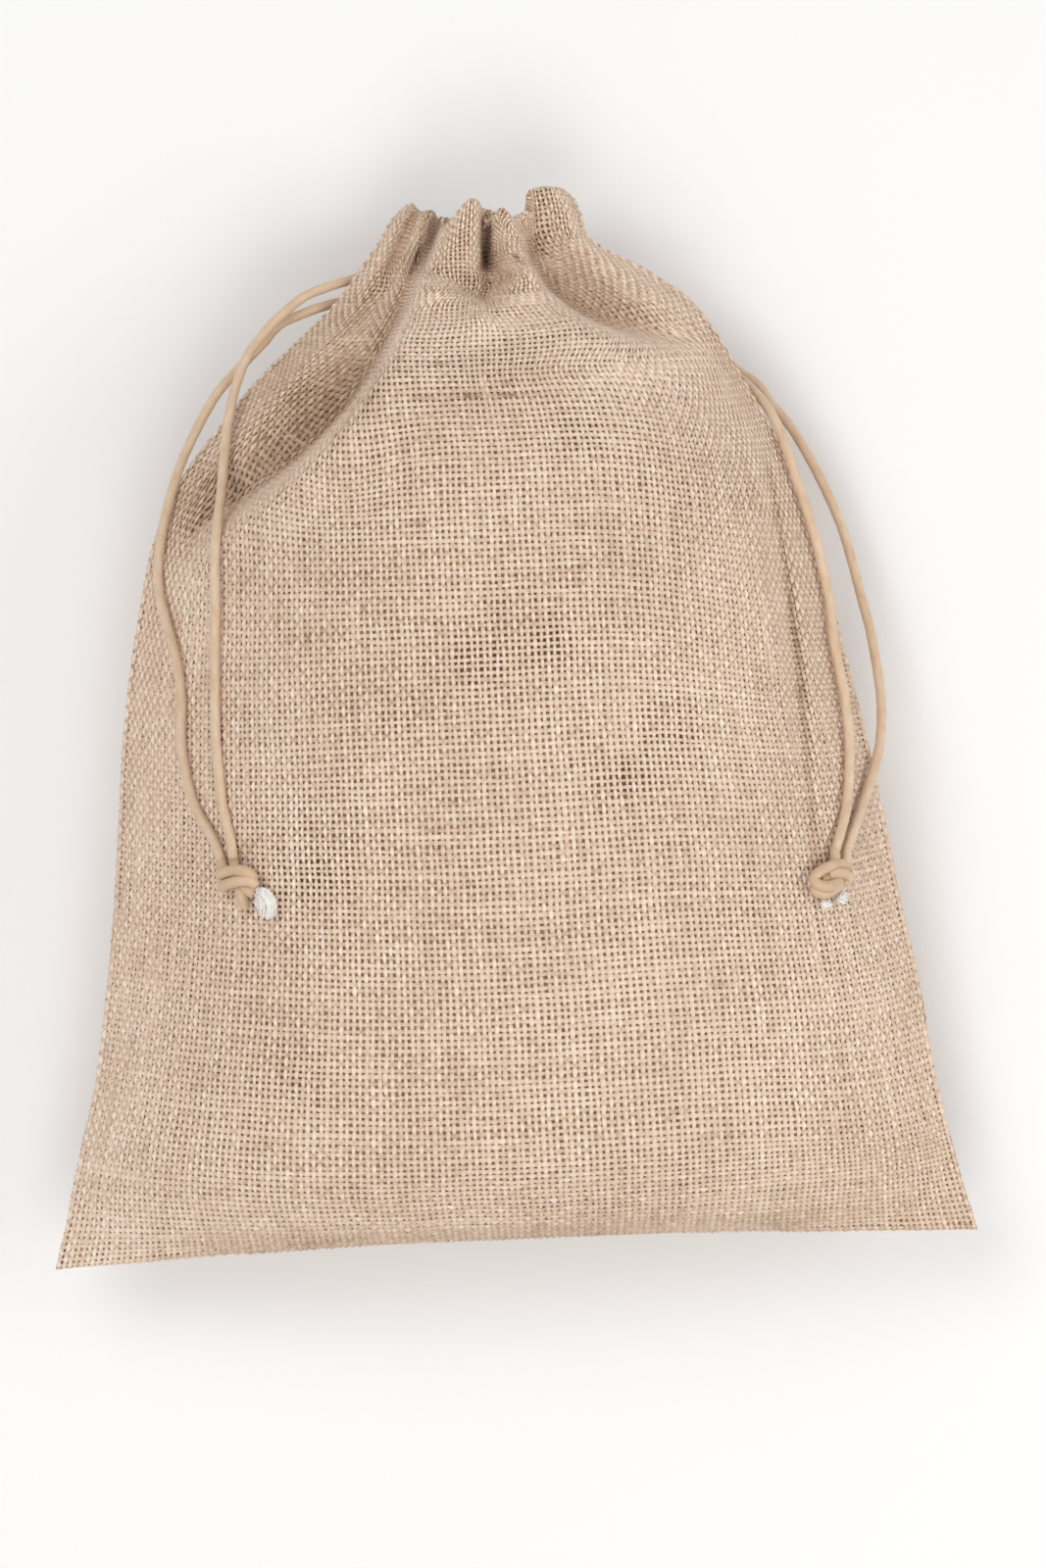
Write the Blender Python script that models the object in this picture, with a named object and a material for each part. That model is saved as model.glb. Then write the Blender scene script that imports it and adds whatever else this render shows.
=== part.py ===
"""A drawstring sack of jute hessian: softly filled out, lying on its back, its neck gathered.

The frame: X across the sack, +Y from the bottom fold to the mouth, Z up, the floor at Z 0, and the
origin under the middle of the sack. Tables and sizes are in millimetres, with Y from the two bottom
corners, and meshes are in metres.
"""

import math

import bmesh
import bpy
import numpy as np
from mathutils import Vector

MM = 0.001

# Driving dimensions
MIDDLE_Y = 171.2  # from the bottom corners to the frame's origin
WALL = 2.0  # loose hessian with its raised yarns
CORD_DIAMETER = 3.2

# Mesh steps
CLOTH_ROWS = (
    0, 6, 15, 27, 41, 60, 83, 110, 145, 180, 212, 238, 252, 262, 270, 278, 285, 292, 299, 306, 313, 320, 326,
    332, 338, 344, 350, 356, 362, 368, 374, 380, 385, 390, 395, 400,
)  # distances from the bottom fold
STEPS_FRONT, STEPS_BACK = 52, 26  # across each face, from seam to seam
STEPS_FINE = 480  # of a row before it is divided evenly along the cloth
FIRST_HOLLOW_ROW = 2  # below it the turned-in bottom is solid
FOLD_ROUNDING = 41.0  # cloth from the bottom fold over which the back takes its own shape
SEAM_ALLOWANCE = 0.5  # share of the step next to a seam that the turned-in cloth fills

# One row of cloth for each line. cloth: its distance from the bottom fold. front_y and crown: the middle
# of the front face. back_y and back_z: the middle of the back face. left and right: the side seams.
# swell: how squarely the front face bulges on each side. rest: share of the back face that lies level.
ROW_COLUMNS = (
    "cloth front_y crown back_y back_z left_x left_y right_x right_y seam_z swell_left swell_right rest"
).split()
ROWS = [
    (0, 6.5, 64.5, 6.5, 61.5, -150.0, 0.0, 150.0, 1.0, 36.0, 2.6, 2.6, 0.20),
    (6, 7.8, 70.0, 5.0, 54.0, -148.5, 5.5, 148.5, 6.5, 36.5, 2.8, 2.8, 0.20),
    (15, 11.6, 77.5, 4.6, 45.0, -146.0, 14.0, 146.0, 15.5, 37.0, 3.2, 3.2, 0.20),
    (27, 19.5, 86.5, 7.0, 33.0, -143.5, 25.5, 143.5, 27.0, 38.0, 3.5, 3.5, 0.20),
    (41, 30.0, 94.0, 13.5, 19.0, -140.0, 39.0, 140.5, 40.0, 39.5, 3.5, 3.5, 0.25),
    (60, 48.0, 99.8, 26.5, 6.0, -135.0, 57.0, 137.0, 58.5, 41.0, 3.3, 3.4, 0.30),
    (83, 69.5, 104.3, 46.0, 0.0, -131.0, 79.0, 134.0, 81.5, 43.0, 3.0, 3.3, 0.35),
    (110, 95.0, 108.3, 72.5, 0.0, -127.0, 105.5, 129.0, 108.0, 44.5, 2.7, 3.2, 0.40),
    (145, 128.5, 111.0, 107.5, 0.0, -123.5, 139.0, 123.5, 142.5, 45.0, 2.5, 3.2, 0.41),
    (180, 162.5, 111.0, 142.0, 0.0, -120.0, 175.0, 117.0, 176.0, 45.0, 2.4, 3.2, 0.41),
    (212, 193.0, 109.7, 173.5, 0.0, -114.0, 209.5, 110.5, 206.0, 45.0, 2.4, 3.2, 0.41),
    (240, 219.5, 107.2, 201.0, 0.0, -106.5, 238.5, 104.5, 232.5, 45.0, 2.4, 3.2, 0.40),
    (262, 240.0, 103.5, 223.0, 0.0, -95.5, 258.5, 98.5, 252.5, 44.5, 2.5, 3.2, 0.38),
    (280, 257.0, 99.0, 241.0, 0.8, -84.0, 272.5, 90.5, 268.5, 44.0, 2.6, 3.1, 0.36),
    (296, 271.0, 92.5, 256.5, 3.5, -75.0, 283.0, 83.5, 282.0, 43.5, 2.6, 3.0, 0.33),
    (310, 283.0, 85.0, 270.0, 7.0, -67.0, 291.0, 77.5, 293.5, 43.0, 2.6, 2.9, 0.30),
    (322, 292.0, 77.0, 281.0, 10.5, -60.5, 296.5, 72.0, 302.0, 43.0, 2.6, 2.8, 0.28),
    (333, 299.5, 69.5, 291.0, 14.0, -55.0, 301.5, 66.0, 308.5, 42.5, 2.6, 2.7, 0.26),
    (343, 305.0, 63.0, 300.0, 17.5, -50.0, 306.0, 59.5, 313.0, 42.5, 2.6, 2.6, 0.25),
    (352, 309.5, 57.5, 306.0, 20.5, -45.0, 311.0, 54.0, 317.0, 42.0, 2.6, 2.6, 0.25),
    (361, 314.0, 53.5, 311.5, 23.0, -40.5, 317.0, 47.5, 320.5, 42.0, 2.6, 2.6, 0.25),
    (370, 319.0, 51.5, 316.5, 24.5, -35.5, 323.5, 41.5, 324.0, 41.5, 2.6, 2.6, 0.25),
    (380, 325.5, 51.5, 321.5, 24.5, -30.5, 330.5, 36.0, 328.5, 41.0, 2.6, 2.6, 0.25),
    (390, 332.0, 53.0, 326.0, 23.5, -27.0, 336.5, 34.5, 335.5, 40.0, 2.6, 2.6, 0.25),
    (400, 337.5, 54.5, 330.5, 22.0, -21.5, 341.2, 32.0, 341.3, 39.0, 2.6, 2.6, 0.25),
]

# Folds of each face: a line through three places, how far the cloth rises along it (falls if below
# zero), and how wide the slope is on its left and right sides, looking along it, at its two ends.
# blunt: 2 for a plain soft fold, more for one with a broad top and steep sides.
FOLD_COLUMNS = "x1 y1 x2 y2 x3 y3 rise1 rise2 rise3 left1 left3 right1 right3 blunt".split()
FRONT_FOLDS = {
    "left lobe of the ruffle": (-20.7, 341, -26.7, 323.3, -38.0, 311.5, 5, 6, 3, 4.0, 6.0, 5.0, 8.0, 2.5),
    "left furrow": (-18.0, 341, -23.9, 327, -38.2, 305, -3, -4, -2, 1.8, 2.6, 1.6, 2.4, 2.0),
    "narrow left pleat": (-14.3, 341, -19.9, 318.8, -34.0, 296.4, 6, 7, 4, 2.6, 4.0, 2.4, 3.5, 3.0),
    "furrow beside the big pleat": (-9.8, 341, -13.0, 331, -19.5, 319.5, -6, -8, -7, 1.4, 1.8, 2.6, 3.5, 2.0),
    "big pleat": (-1.4, 343, -2.4, 325.5, -12.3, 314, 10, 11, 6, 5.0, 8.0, 6.0, 7.0, 3.2),
    "slit": (4.4, 342, 3.2, 325, 2.0, 320, -7, -10, -6, 1.3, 1.8, 1.2, 1.4, 2.0),
    "pocket under the slit": (2.6, 320, 4.5, 314.8, 2.5, 308.5, -6, -7, -5, 6.0, 5.0, 1.4, 1.8, 2.4),
    "middle pleat": (8.2, 341, 9.5, 325.3, 18.0, 317.5, 9, 10, 6, 3.4, 5.0, 3.6, 6.0, 3.0),
    "right lobe": (25.8, 345, 28.4, 321.1, 69.4, 296.8, 6, 7, 4, 5.0, 8.0, 4.0, 7.0, 2.5),
    "belly's edge, left": (-16.0, 318, -34.0, 264.8, -80.0, 240.5, 3, 6, 4, 14.0, 14.0, 2.6, 4.0, 2.0),
    "foot of the left edge": (-20.3, 319.4, -37.9, 267.9, -82.0, 244.5, -4, -20, -12, 2.8, 3.8, 9.0, 13.0, 2.0),
    "end of the left foot": (-82.0, 244.5, -92.0, 238, -101.0, 226, -4, -4, -2, 5.0, 6.0, 8.0, 8.0, 2.0),
    "belly's edge under the big pleat": (-17.0, 313, -8.0, 310.5, 0.0, 303.5, 2, 4, 4, 2.4, 2.4, 8.0, 8.0, 2.0),
    "foot of the big pleat": (-15.0, 317.5, -5.0, 314.5, 1.5, 308, -4, -5, -3, 5.0, 4.0, 2.2, 2.2, 2.0),
    "belly's edge under the slit": (1.0, 303.5, 8.0, 307, 16.0, 317, 4, 5, 4, 2.4, 2.4, 8.0, 8.0, 2.0),
    "belly's edge, right": (14.0, 320, 26.0, 293.5, 60.0, 288.5, 4, 6, 3, 3.0, 4.0, 12.0, 14.0, 2.0),
    "right hollow": (17.5, 323, 28.3, 297.3, 62.0, 292.5, -8, -15, -8, 8.0, 9.0, 2.6, 3.6, 2.0),
    "left shoulder": (-46.0, 300, -62.0, 284, -80.0, 263, 2, 3, 2, 7.0, 8.0, 7.0, 8.0, 2.0),
    "right side crease": (90.0, 256, 98.5, 205, 99.5, 122, -1, -3.5, -1, 1.8, 2.0, 3.0, 4.0, 2.0),
}
BACK_FOLDS = {
    "back ruffle, first": (-16.0, 345, -18.0, 325, -30.0, 296, -5, -6, -3, 4, 7, 4, 7, 2),
    "back ruffle, second": (-7.0, 345, -8.0, 325, -12.0, 290, 3, 3, 2, 3.5, 7, 3.5, 7, 2),
    "back ruffle, third": (3.0, 345, 3.0, 325, 4.0, 288, -6, -6, -3, 4, 8, 4, 8, 2),
    "back ruffle, fourth": (13.0, 345, 14.0, 325, 22.0, 290, 3, 3, 2, 3.5, 8, 3.5, 8, 2),
    "back ruffle, fifth": (22.0, 345, 26.0, 325, 44.0, 296, -5, -6, -3, 4, 8, 4, 8, 2),
}
FOLD_STEPS = 12
LEAST_FOLD = 2.2  # narrowest slope that the mesh steps can follow

# The hemmed edge of the mouth, seen from above: how far each place of the front edge stands out
RIM_X = (
    -21.5, -19.1, -17.1, -15.0, -12.4, -11.0, -10.3, -8.8, -6.8, -4.5, -2.2, 0.1, 2.3, 4.2, 4.6, 5.2,
    7.5, 9.0, 11.2, 12.7, 15.8, 18.1, 18.7, 19.0, 22.1, 25.9, 30.6, 31.2, 32.0,
)
RIM_OUT = (
    0.0, -1.1, -2.9, -2.9, -2.6, -4.2, -6.2, -6.0, -3.9, -1.4, 0.0, 0.6, -0.1, -2.1, -5.9, -4.4,
    -2.8, -3.2, -4.9, -5.3, -4.2, -3.5, -3.3, 3.4, 3.2, 2.6, 1.6, 0.6, 0.0,
)
RIM_FROM, RIM_TO = 372.0, 400.0  # cloth rows over which the edge's outline fades in

# Middle line of each free cord end, from the neck to its knot
TAILS = {
    "left_tail_a": [
        (-33.5, 320.2, 28.5), (-38.0, 318.6, 32.5), (-42.5, 317.2, 36.8), (-49.0, 315.0, 40.6),
        (-57.0, 311.6, 43.0), (-66.7, 303.7, 45.0),
        (-70.8, 298.8, 46.0), (-74.2, 294.7, 47.2),
        (-77.5, 288.0, 49.2), (-80.8, 276.9, 53.6),
        (-83.0, 262.6, 58.4), (-84.2, 250.3, 63.0),
        (-86.3, 230.2, 75.3), (-86.9, 210.0, 78.4),
        (-87.8, 190.3, 80.4), (-88.1, 170.5, 82.7),
        (-86.9, 150.7, 85.3), (-84.4, 137.5, 88.2),
        (-83.7, 131.3, 89.6),
    ],
    "left_tail_b": [
        (-41.0, 312.0, 28.5), (-45.5, 310.8, 32.5), (-50.0, 309.4, 36.6), (-57.0, 307.0, 38.6),
        (-64.8, 303.6, 38.9), (-70.2, 298.2, 38.2),
        (-77.3, 291.3, 38.2), (-86.2, 281.7, 39.6),
        (-94.2, 268.1, 42.0), (-99.9, 254.8, 46.6),
        (-104.8, 236.9, 50.9), (-106.5, 221.7, 53.9),
        (-104.0, 208.4, 60.9), (-100.3, 193.9, 68.1),
        (-99.4, 181.1, 71.0), (-99.8, 168.0, 72.6),
        (-96.8, 151.0, 77.0), (-90.2, 138.1, 83.8),
        (-87.6, 131.3, 87.0),
    ],
    "right_tail_outer": [
        (39.6, 322.6, 26.4), (49.0, 318.4, 22.2), (60.0, 310.6, 19.6), (70.0, 299.8, 19.4),
        (78.6, 289.0, 20.8), (84.8, 283.4, 23.6), (90.3, 279.0, 25.2), (94.4, 272.5, 26.4),
        (100.0, 265.2, 27.0), (105.2, 256.0, 27.0), (111.0, 243.8, 26.0), (115.5, 232.4, 25.0),
        (118.5, 221.2, 24.8), (121.2, 208.5, 26.0), (123.5, 197.0, 29.0), (125.0, 184.0, 33.4),
        (125.5, 173.0, 38.0), (124.4, 162.3, 44.0), (122.0, 153.5, 49.6), (119.4, 147.0, 54.4),
        (113.6, 134.0, 65.7), (110.3, 126.3, 71.4),
    ],
    "right_tail_inner": [
        (45.5, 316.2, 26.0), (56.0, 308.4, 24.8), (66.0, 299.4, 24.6), (74.8, 290.0, 26.2),
        (81.4, 283.5, 29.8), (87.2, 277.5, 34.4), (92.2, 270.5, 40.6), (96.3, 260.6, 47.0),
        (98.6, 251.5, 49.8), (102.4, 238.5, 50.4), (105.2, 228.0, 50.3), (107.4, 217.0, 50.8),
        (109.3, 206.0, 51.9), (109.8, 194.0, 54.9), (112.5, 174.3, 57.2), (113.1, 158.9, 60.6),
        (111.0, 140.8, 67.8), (107.2, 129.0, 74.0), (106.2, 126.3, 75.3),
    ],
}
TAIL_STEP = 11.0  # between the points of a tail's line

# Each knot lies on a slope of the cloth. Its strands are given from its middle: across, toward the
# mouth, height over the cloth, and radius.
LEFT_KNOT_AT = (-82.5, 122.8, 87.4, 0.70, -0.04)  # x, y, z, then the rise across and toward the mouth
LEFT_KNOT = {
    "end of tail a": [(-1.2, 7.5, 2.9, 1.6), (-1.0, 4.0, 4.0, 1.7), (0.4, 0.0, 4.2, 1.8)],
    "end of tail b": [(-4.9, 7.5, 3.2, 1.6), (-3.8, 4.0, 4.0, 1.7), (-2.0, 0.0, 4.2, 1.8)],
    "upper turn": [
        (-4.4, 3.9, 2.6, 1.8), (-5.0, 4.0, 5.2, 1.8), (-3.0, 4.9, 7.6, 1.8), (0.4, 5.3, 8.2, 1.8),
        (3.4, 4.5, 7.2, 1.8), (5.0, 2.9, 4.9, 1.8), (4.2, 2.4, 2.9, 1.8),
    ],
    "lower turn": [
        (-4.4, 0.1, 2.6, 1.8), (-5.0, 0.2, 5.2, 1.8), (-3.0, 1.1, 7.7, 1.8), (0.4, 1.9, 8.3, 1.8),
        (3.6, 1.9, 7.3, 1.8), (5.3, 0.9, 5.0, 1.8), (4.6, 0.6, 2.9, 1.8),
    ],
    "short cut end": [(0.3, 0.6, 4.6, 1.9), (1.2, -3.4, 4.4, 1.9), (2.1, -7.0, 3.4, 1.6)],
    "end that frays": [(2.2, 0.6, 5.0, 1.9), (3.8, -1.2, 5.0, 1.9), (4.6, -1.8, 4.6, 1.9)],
}
LEFT_KNOT_HEART = (0.0, 2.6, 4.4, 4.6, 3.4, 3.0)  # what the turns close round: its middle and half sizes
LEFT_CORE = [(6.6, -1.6, 4.1, 2.1), (8.5, -3.0, 4.3, 2.9), (9.0, -6.0, 4.1, 2.9), (8.6, -9.0, 3.4, 1.9)]
RIGHT_KNOT_AT = (104.3, 117.5, 75.0, -1.03, -0.10)
RIGHT_KNOT = {
    "end of the inner tail": [(1.7, 8.1, 3.6, 1.6), (1.6, 5.6, 4.0, 1.7), (0.8, 2.4, 4.2, 1.8)],
    "end of the outer tail": [(5.8, 8.1, 3.6, 1.6), (5.2, 5.6, 4.0, 1.7), (3.0, 2.4, 4.2, 1.8)],
    "upper turn": [
        (5.6, 3.6, 3.4, 1.7), (4.5, 4.3, 4.8, 1.7), (1.8, 4.6, 6.0, 1.7), (-1.8, 3.6, 6.4, 1.7),
        (-4.8, 2.0, 5.8, 1.7), (-5.9, 0.3, 5.2, 1.7), (-4.9, -1.1, 6.6, 1.7), (-2.3, -2.0, 7.6, 1.7),
        (0.5, -1.7, 7.4, 1.7), (2.6, -0.6, 5.2, 1.7),
    ],
    "turn on the right": [
        (-0.9, 1.3, 5.6, 1.6), (1.8, 1.9, 7.2, 1.6), (4.3, 1.7, 7.2, 1.6), (5.9, 0.5, 6.0, 1.6),
        (5.2, -0.7, 4.2, 1.6), (3.8, -1.0, 3.4, 1.6),
    ],
    "lower turn": [
        (-5.6, -2.4, 3.2, 1.6), (-5.2, -3.6, 4.0, 1.6), (-3.1, -4.5, 5.0, 1.6), (-0.5, -4.0, 5.0, 1.6),
        (1.9, -2.7, 4.2, 1.6), (3.0, -1.4, 3.4, 1.6),
    ],
}
RIGHT_KNOT_HEART = (-0.4, 0.2, 4.4, 5.2, 4.2, 2.6)
RIGHT_CORE_A = [(-3.6, -7.6, 3.2, 1.0), (-2.4, -7.8, 3.6, 1.25), (-1.2, -7.6, 3.4, 1.0)]
RIGHT_CORE_B = [(2.1, -5.5, 3.6, 1.3), (3.1, -6.0, 3.8, 1.9), (4.2, -6.2, 3.6, 1.4)]
KNOT_VOXEL = 0.7
KNOT_KEPT = 0.45  # share of the knot's small faces kept when they are thinned out

JUTE = (0.56, 0.41, 0.26)
CORD_TAN = (0.62, 0.44, 0.27)
CORE_WHITE = (0.86, 0.83, 0.76)


def in_frame(point):
    """A place of the tables as a point of the model."""
    return Vector((point[0], point[1] - MIDDLE_Y, point[2])) * MM


def steady(at, places, values):
    """A smooth line through values given at uneven places."""
    slopes = np.gradient(values, places)
    i = np.clip(np.searchsorted(places, at) - 1, 0, len(places) - 2)
    span = places[i + 1] - places[i]
    t = (at - places[i]) / span
    start = (1 + 2 * t) * (1 - t) ** 2 * values[i] + t * (1 - t) ** 2 * span * slopes[i]
    return start + t**2 * (3 - 2 * t) * values[i + 1] - t**2 * (1 - t) * span * slopes[i + 1]


def row_at(cloth):
    table = np.array(ROWS, float)
    return {name: float(steady(cloth, table[:, 0], table[:, k])) for k, name in enumerate(ROW_COLUMNS)}


def fold_lift(folds, x, y):
    """How far the folds raise the cloth at each place of a face."""
    t = np.linspace(0.0, 1.0, FOLD_STEPS + 1)
    lift = np.zeros_like(x)
    for values in folds.values():
        f = dict(zip(FOLD_COLUMNS, values))
        line_x = (1 - t) ** 2 * f["x1"] + 2 * t * (1 - t) * f["x2"] + t**2 * f["x3"]
        line_y = (1 - t) ** 2 * f["y1"] + 2 * t * (1 - t) * f["y2"] + t**2 * f["y3"]
        run_x, run_y = np.diff(line_x), np.diff(line_y)
        from_x, from_y = x[:, None] - line_x[:-1], y[:, None] - line_y[:-1]
        part = np.clip((from_x * run_x + from_y * run_y) / (run_x**2 + run_y**2), 0.0, 1.0)
        away = np.hypot(from_x - part * run_x, from_y - part * run_y)
        nearest = away.argmin(axis=1)
        pick = np.arange(len(x)), nearest
        at = (nearest + part[pick]) / FOLD_STEPS
        on_left = (run_x * from_y - run_y * from_x)[pick] > 0
        left = f["left1"] + (f["left3"] - f["left1"]) * at
        right = f["right1"] + (f["right3"] - f["right1"]) * at
        reach = np.maximum(np.where(on_left, left, right), LEAST_FOLD)
        rise = np.interp(at, (0, 0.5, 1), (f["rise1"], f["rise2"], f["rise3"]))
        lift += rise * np.exp(-((away[pick] / reach) ** f["blunt"]))
    return lift


def evenly(steps, x, y, z, share):
    """The line through x, y and z divided into steps of equal length, and the share at each place."""
    along = np.concatenate([[0.0], np.cumsum(np.sqrt(np.diff(x) ** 2 + np.diff(y) ** 2 + np.diff(z) ** 2))])
    at = np.linspace(0.0, along[-1], steps + 1)
    return [np.interp(at, along, line) for line in (x, y, z, share)]


def row_plan(row, middle_y):
    """Places across a row from above: the share s from seam to seam, x and y."""
    s = np.linspace(-1.0, 1.0, STEPS_FINE + 1)
    middle_x = (row["left_x"] + row["right_x"]) / 2
    x = middle_x + (row["right_x"] - row["left_x"]) / 2 * s
    side_y = np.where(s < 0, row["left_y"], row["right_y"])
    y = middle_y + (side_y - middle_y) * s**2
    return s, x, y


def front_row(row):
    s, x, y = row_plan(row, row["front_y"])
    ruffled = min(max((row["cloth"] - RIM_FROM) / (RIM_TO - RIM_FROM), 0.0), 1.0)
    y = y + ruffled * np.interp(x, RIM_X, RIM_OUT)
    swell = np.where(s < 0, row["swell_left"], row["swell_right"])
    z = row["seam_z"] + (row["crown"] - row["seam_z"]) * (1 - np.abs(s) ** swell)
    x, y, z, s = evenly(STEPS_FRONT, x, y, z, s)
    at_seam = np.clip((1 - np.abs(s)) / 0.12, 0.0, 1.0)
    z = z + at_seam * fold_lift(FRONT_FOLDS, x, y)
    return np.stack([x, y, z], axis=1)


def back_row(row):
    s, x, y = row_plan(row, row["back_y"])
    bent = np.clip((np.abs(s) - row["rest"]) / (1 - row["rest"]), 0.0, 1.0)
    past_fold = min(row["cloth"] / FOLD_ROUNDING, 1.0)
    profile = past_fold * np.sqrt(1 - bent**2) + (1 - past_fold) * (1 - np.abs(s) ** row["swell_left"])
    z = row["seam_z"] - (row["seam_z"] - row["back_z"]) * profile
    x, y, z, s = evenly(STEPS_BACK, x, y, z, s)
    at_seam = np.clip((1 - np.abs(s)) / 0.12, 0.0, 1.0)
    z = np.maximum(z + at_seam * fold_lift(BACK_FOLDS, x, y), 0.0)
    return np.stack([x, y, z], axis=1)


def inner_rows(row, front, back):
    """The inside of a row's wall, drawn in from the seams and from both faces."""
    middle_x = (row["left_x"] + row["right_x"]) / 2
    half = (row["right_x"] - row["left_x"]) / 2
    low_down = max(0.0, 1 - row["cloth"] / 60.0)
    made = []
    for face, other, into in ((front, back, -1.0), (back, front, 1.0)):
        inside = face.copy()
        room = np.abs(face[:, 2] - np.interp(face[:, 0], other[:, 0], other[:, 2]))
        inside[:, 0] = middle_x + (face[:, 0] - middle_x) * (half - WALL) / half
        inside[:, 1] += WALL * low_down
        inside[:, 2] += into * np.minimum(WALL, 0.35 * room)
        made.append(inside)
    for end, beside in ((0, 1), (-1, -2)):
        within = (made[0][beside] + made[1][beside]) / 2
        seam = front[end] + SEAM_ALLOWANCE * (within - front[end])
        made[0][end] = made[1][end] = seam
    return made


def add_sheet(mesh, rows):
    """Vertices of a face's rows, as a grid."""
    return [[mesh.verts.new(in_frame(point)) for point in row] for row in rows]


def share_seams(mesh, front, back):
    """Both faces use the same vertices along the two side seams."""
    for front_line, back_line in zip(front, back):
        for end in (0, -1):
            mesh.verts.remove(back_line[end])
            back_line[end] = front_line[end]


def fill_between(mesh, first, second):
    """Faces between two lines of vertices. The first may have several steps for each of the second."""
    each = (len(first) - 1) // (len(second) - 1)
    for k in range(len(second) - 1):
        corners = first[each * k:each * (k + 1) + 1] + [second[k + 1], second[k]]
        distinct = [v for i, v in enumerate(corners) if v not in corners[:i]]
        if len(distinct) > 2:
            mesh.faces.new(distinct)


def named_object(name, mesh, colour, roughness):
    data = bpy.data.meshes.new(name)
    mesh.to_mesh(data)
    mesh.free()
    made = bpy.data.objects.new(name, data)
    bpy.context.scene.collection.objects.link(made)
    give_material(made, colour, roughness)
    return made


def give_material(thing, colour, roughness):
    material = bpy.data.materials.new(thing.name)
    material.use_nodes = True
    shader = material.node_tree.nodes["Principled BSDF"]
    shader.inputs["Base Color"].default_value = (*colour, 1.0)
    shader.inputs["Roughness"].default_value = roughness
    shader.inputs["Metallic"].default_value = 0.0
    thing.data.materials.append(material)


def sack_body():
    """One length of hessian folded across the bottom and seamed up both sides, open at the mouth."""
    rows = [row_at(cloth) for cloth in CLOTH_ROWS]
    fronts = [front_row(row) for row in rows]
    backs = [back_row(row) for row in rows]
    insides = [inner_rows(row, f, b) for row, f, b in zip(rows, fronts, backs)][FIRST_HOLLOW_ROW:]
    mesh = bmesh.new()
    front, back = add_sheet(mesh, fronts), add_sheet(mesh, backs)
    inner_front = add_sheet(mesh, [pair[0] for pair in insides])
    inner_back = add_sheet(mesh, [pair[1] for pair in insides])
    share_seams(mesh, front, back)
    share_seams(mesh, inner_front, inner_back)
    for sheet in (front, back, inner_front, inner_back):
        for lower, upper in zip(sheet, sheet[1:]):
            fill_between(mesh, lower, upper)
    fill_between(mesh, front[0], back[0])
    fill_between(mesh, inner_front[0], inner_back[0])
    fill_between(mesh, front[-1], inner_front[-1])
    fill_between(mesh, back[-1], inner_back[-1])
    bmesh.ops.recalc_face_normals(mesh, faces=mesh.faces)
    for face in mesh.faces:
        face.smooth = True
    return named_object("sack_body", mesh, JUTE, 0.9)


def smooth_line(points, step):
    """A smooth line through points, read at even steps; columns past the third come along."""
    points = np.array(points, float)
    ends = np.vstack([2 * points[0] - points[1], points, 2 * points[-1] - points[-2]])
    fine = [points[:1]]
    for before, a, b, after in zip(ends, ends[1:], ends[2:], ends[3:]):
        t = np.linspace(0.0, 1.0, 13)[1:, None]
        bend = 2 * before - 5 * a + 4 * b - after
        fine.append(a + t / 2 * (b - before + t * (bend + t * (3 * a - before - 3 * b + after))))
    line = np.vstack(fine)
    along = np.concatenate([[0.0], np.cumsum(np.linalg.norm(np.diff(line[:, :3], axis=0), axis=1))])
    at = np.linspace(0.0, along[-1], max(2, round(along[-1] / step)) + 1)
    return np.stack([np.interp(at, along, column) for column in line.T], axis=1)


def cord_tail(name):
    line = smooth_line(TAILS[name], TAIL_STEP)
    curve = bpy.data.curves.new(name, "CURVE")
    curve.dimensions = "3D"
    curve.bevel_depth = CORD_DIAMETER / 2 * MM
    curve.bevel_resolution = 2
    curve.use_fill_caps = True
    spline = curve.splines.new("POLY")
    spline.points.add(len(line) - 1)
    for point, place in zip(spline.points, line):
        point.co = (*in_frame(place), 1.0)
    made = bpy.data.objects.new(name, curve)
    bpy.context.scene.collection.objects.link(made)
    give_material(made, CORD_TAN, 0.6)


def add_strand(mesh, at, points, step, sides):
    """A closed round strand through points that are given from the middle of a knot."""
    x, y, z, across, onward = at
    line = smooth_line([(x + a, y + b, z + across * a + onward * b + h, r) for a, b, h, r in points], step)
    middles = [Vector(place[:3]) for place in line]
    rings = []
    out = Vector((0.0, 0.0, 1.0))
    for i, middle in enumerate(middles):
        run = (middles[min(i + 1, len(middles) - 1)] - middles[max(i - 1, 0)]).normalized()
        out = (out - run * out.dot(run)).normalized()
        beside = run.cross(out)
        ring = []
        for k in range(sides):
            turn = 2 * math.pi * k / sides
            place = middle + float(line[i][3]) * (math.cos(turn) * out + math.sin(turn) * beside)
            ring.append(mesh.verts.new(in_frame(place)))
        rings.append(ring)
    for first, second in zip(rings, rings[1:]):
        fill_between(mesh, first + first[:1], second + second[:1])
    mesh.faces.new(rings[0])
    mesh.faces.new(rings[-1])


def add_heart(mesh, at, sizes):
    x, y, z, across, onward = at
    a, b, h, half_a, half_b, half_h = sizes
    ball = bmesh.ops.create_icosphere(mesh, subdivisions=3, radius=1.0)["verts"]
    for vert in ball:
        in_a, in_b = a + half_a * vert.co.x, b + half_b * vert.co.y
        high = z + across * in_a + onward * in_b + h + half_h * vert.co.z
        vert.co = in_frame((x + in_a, y + in_b, high))


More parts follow.
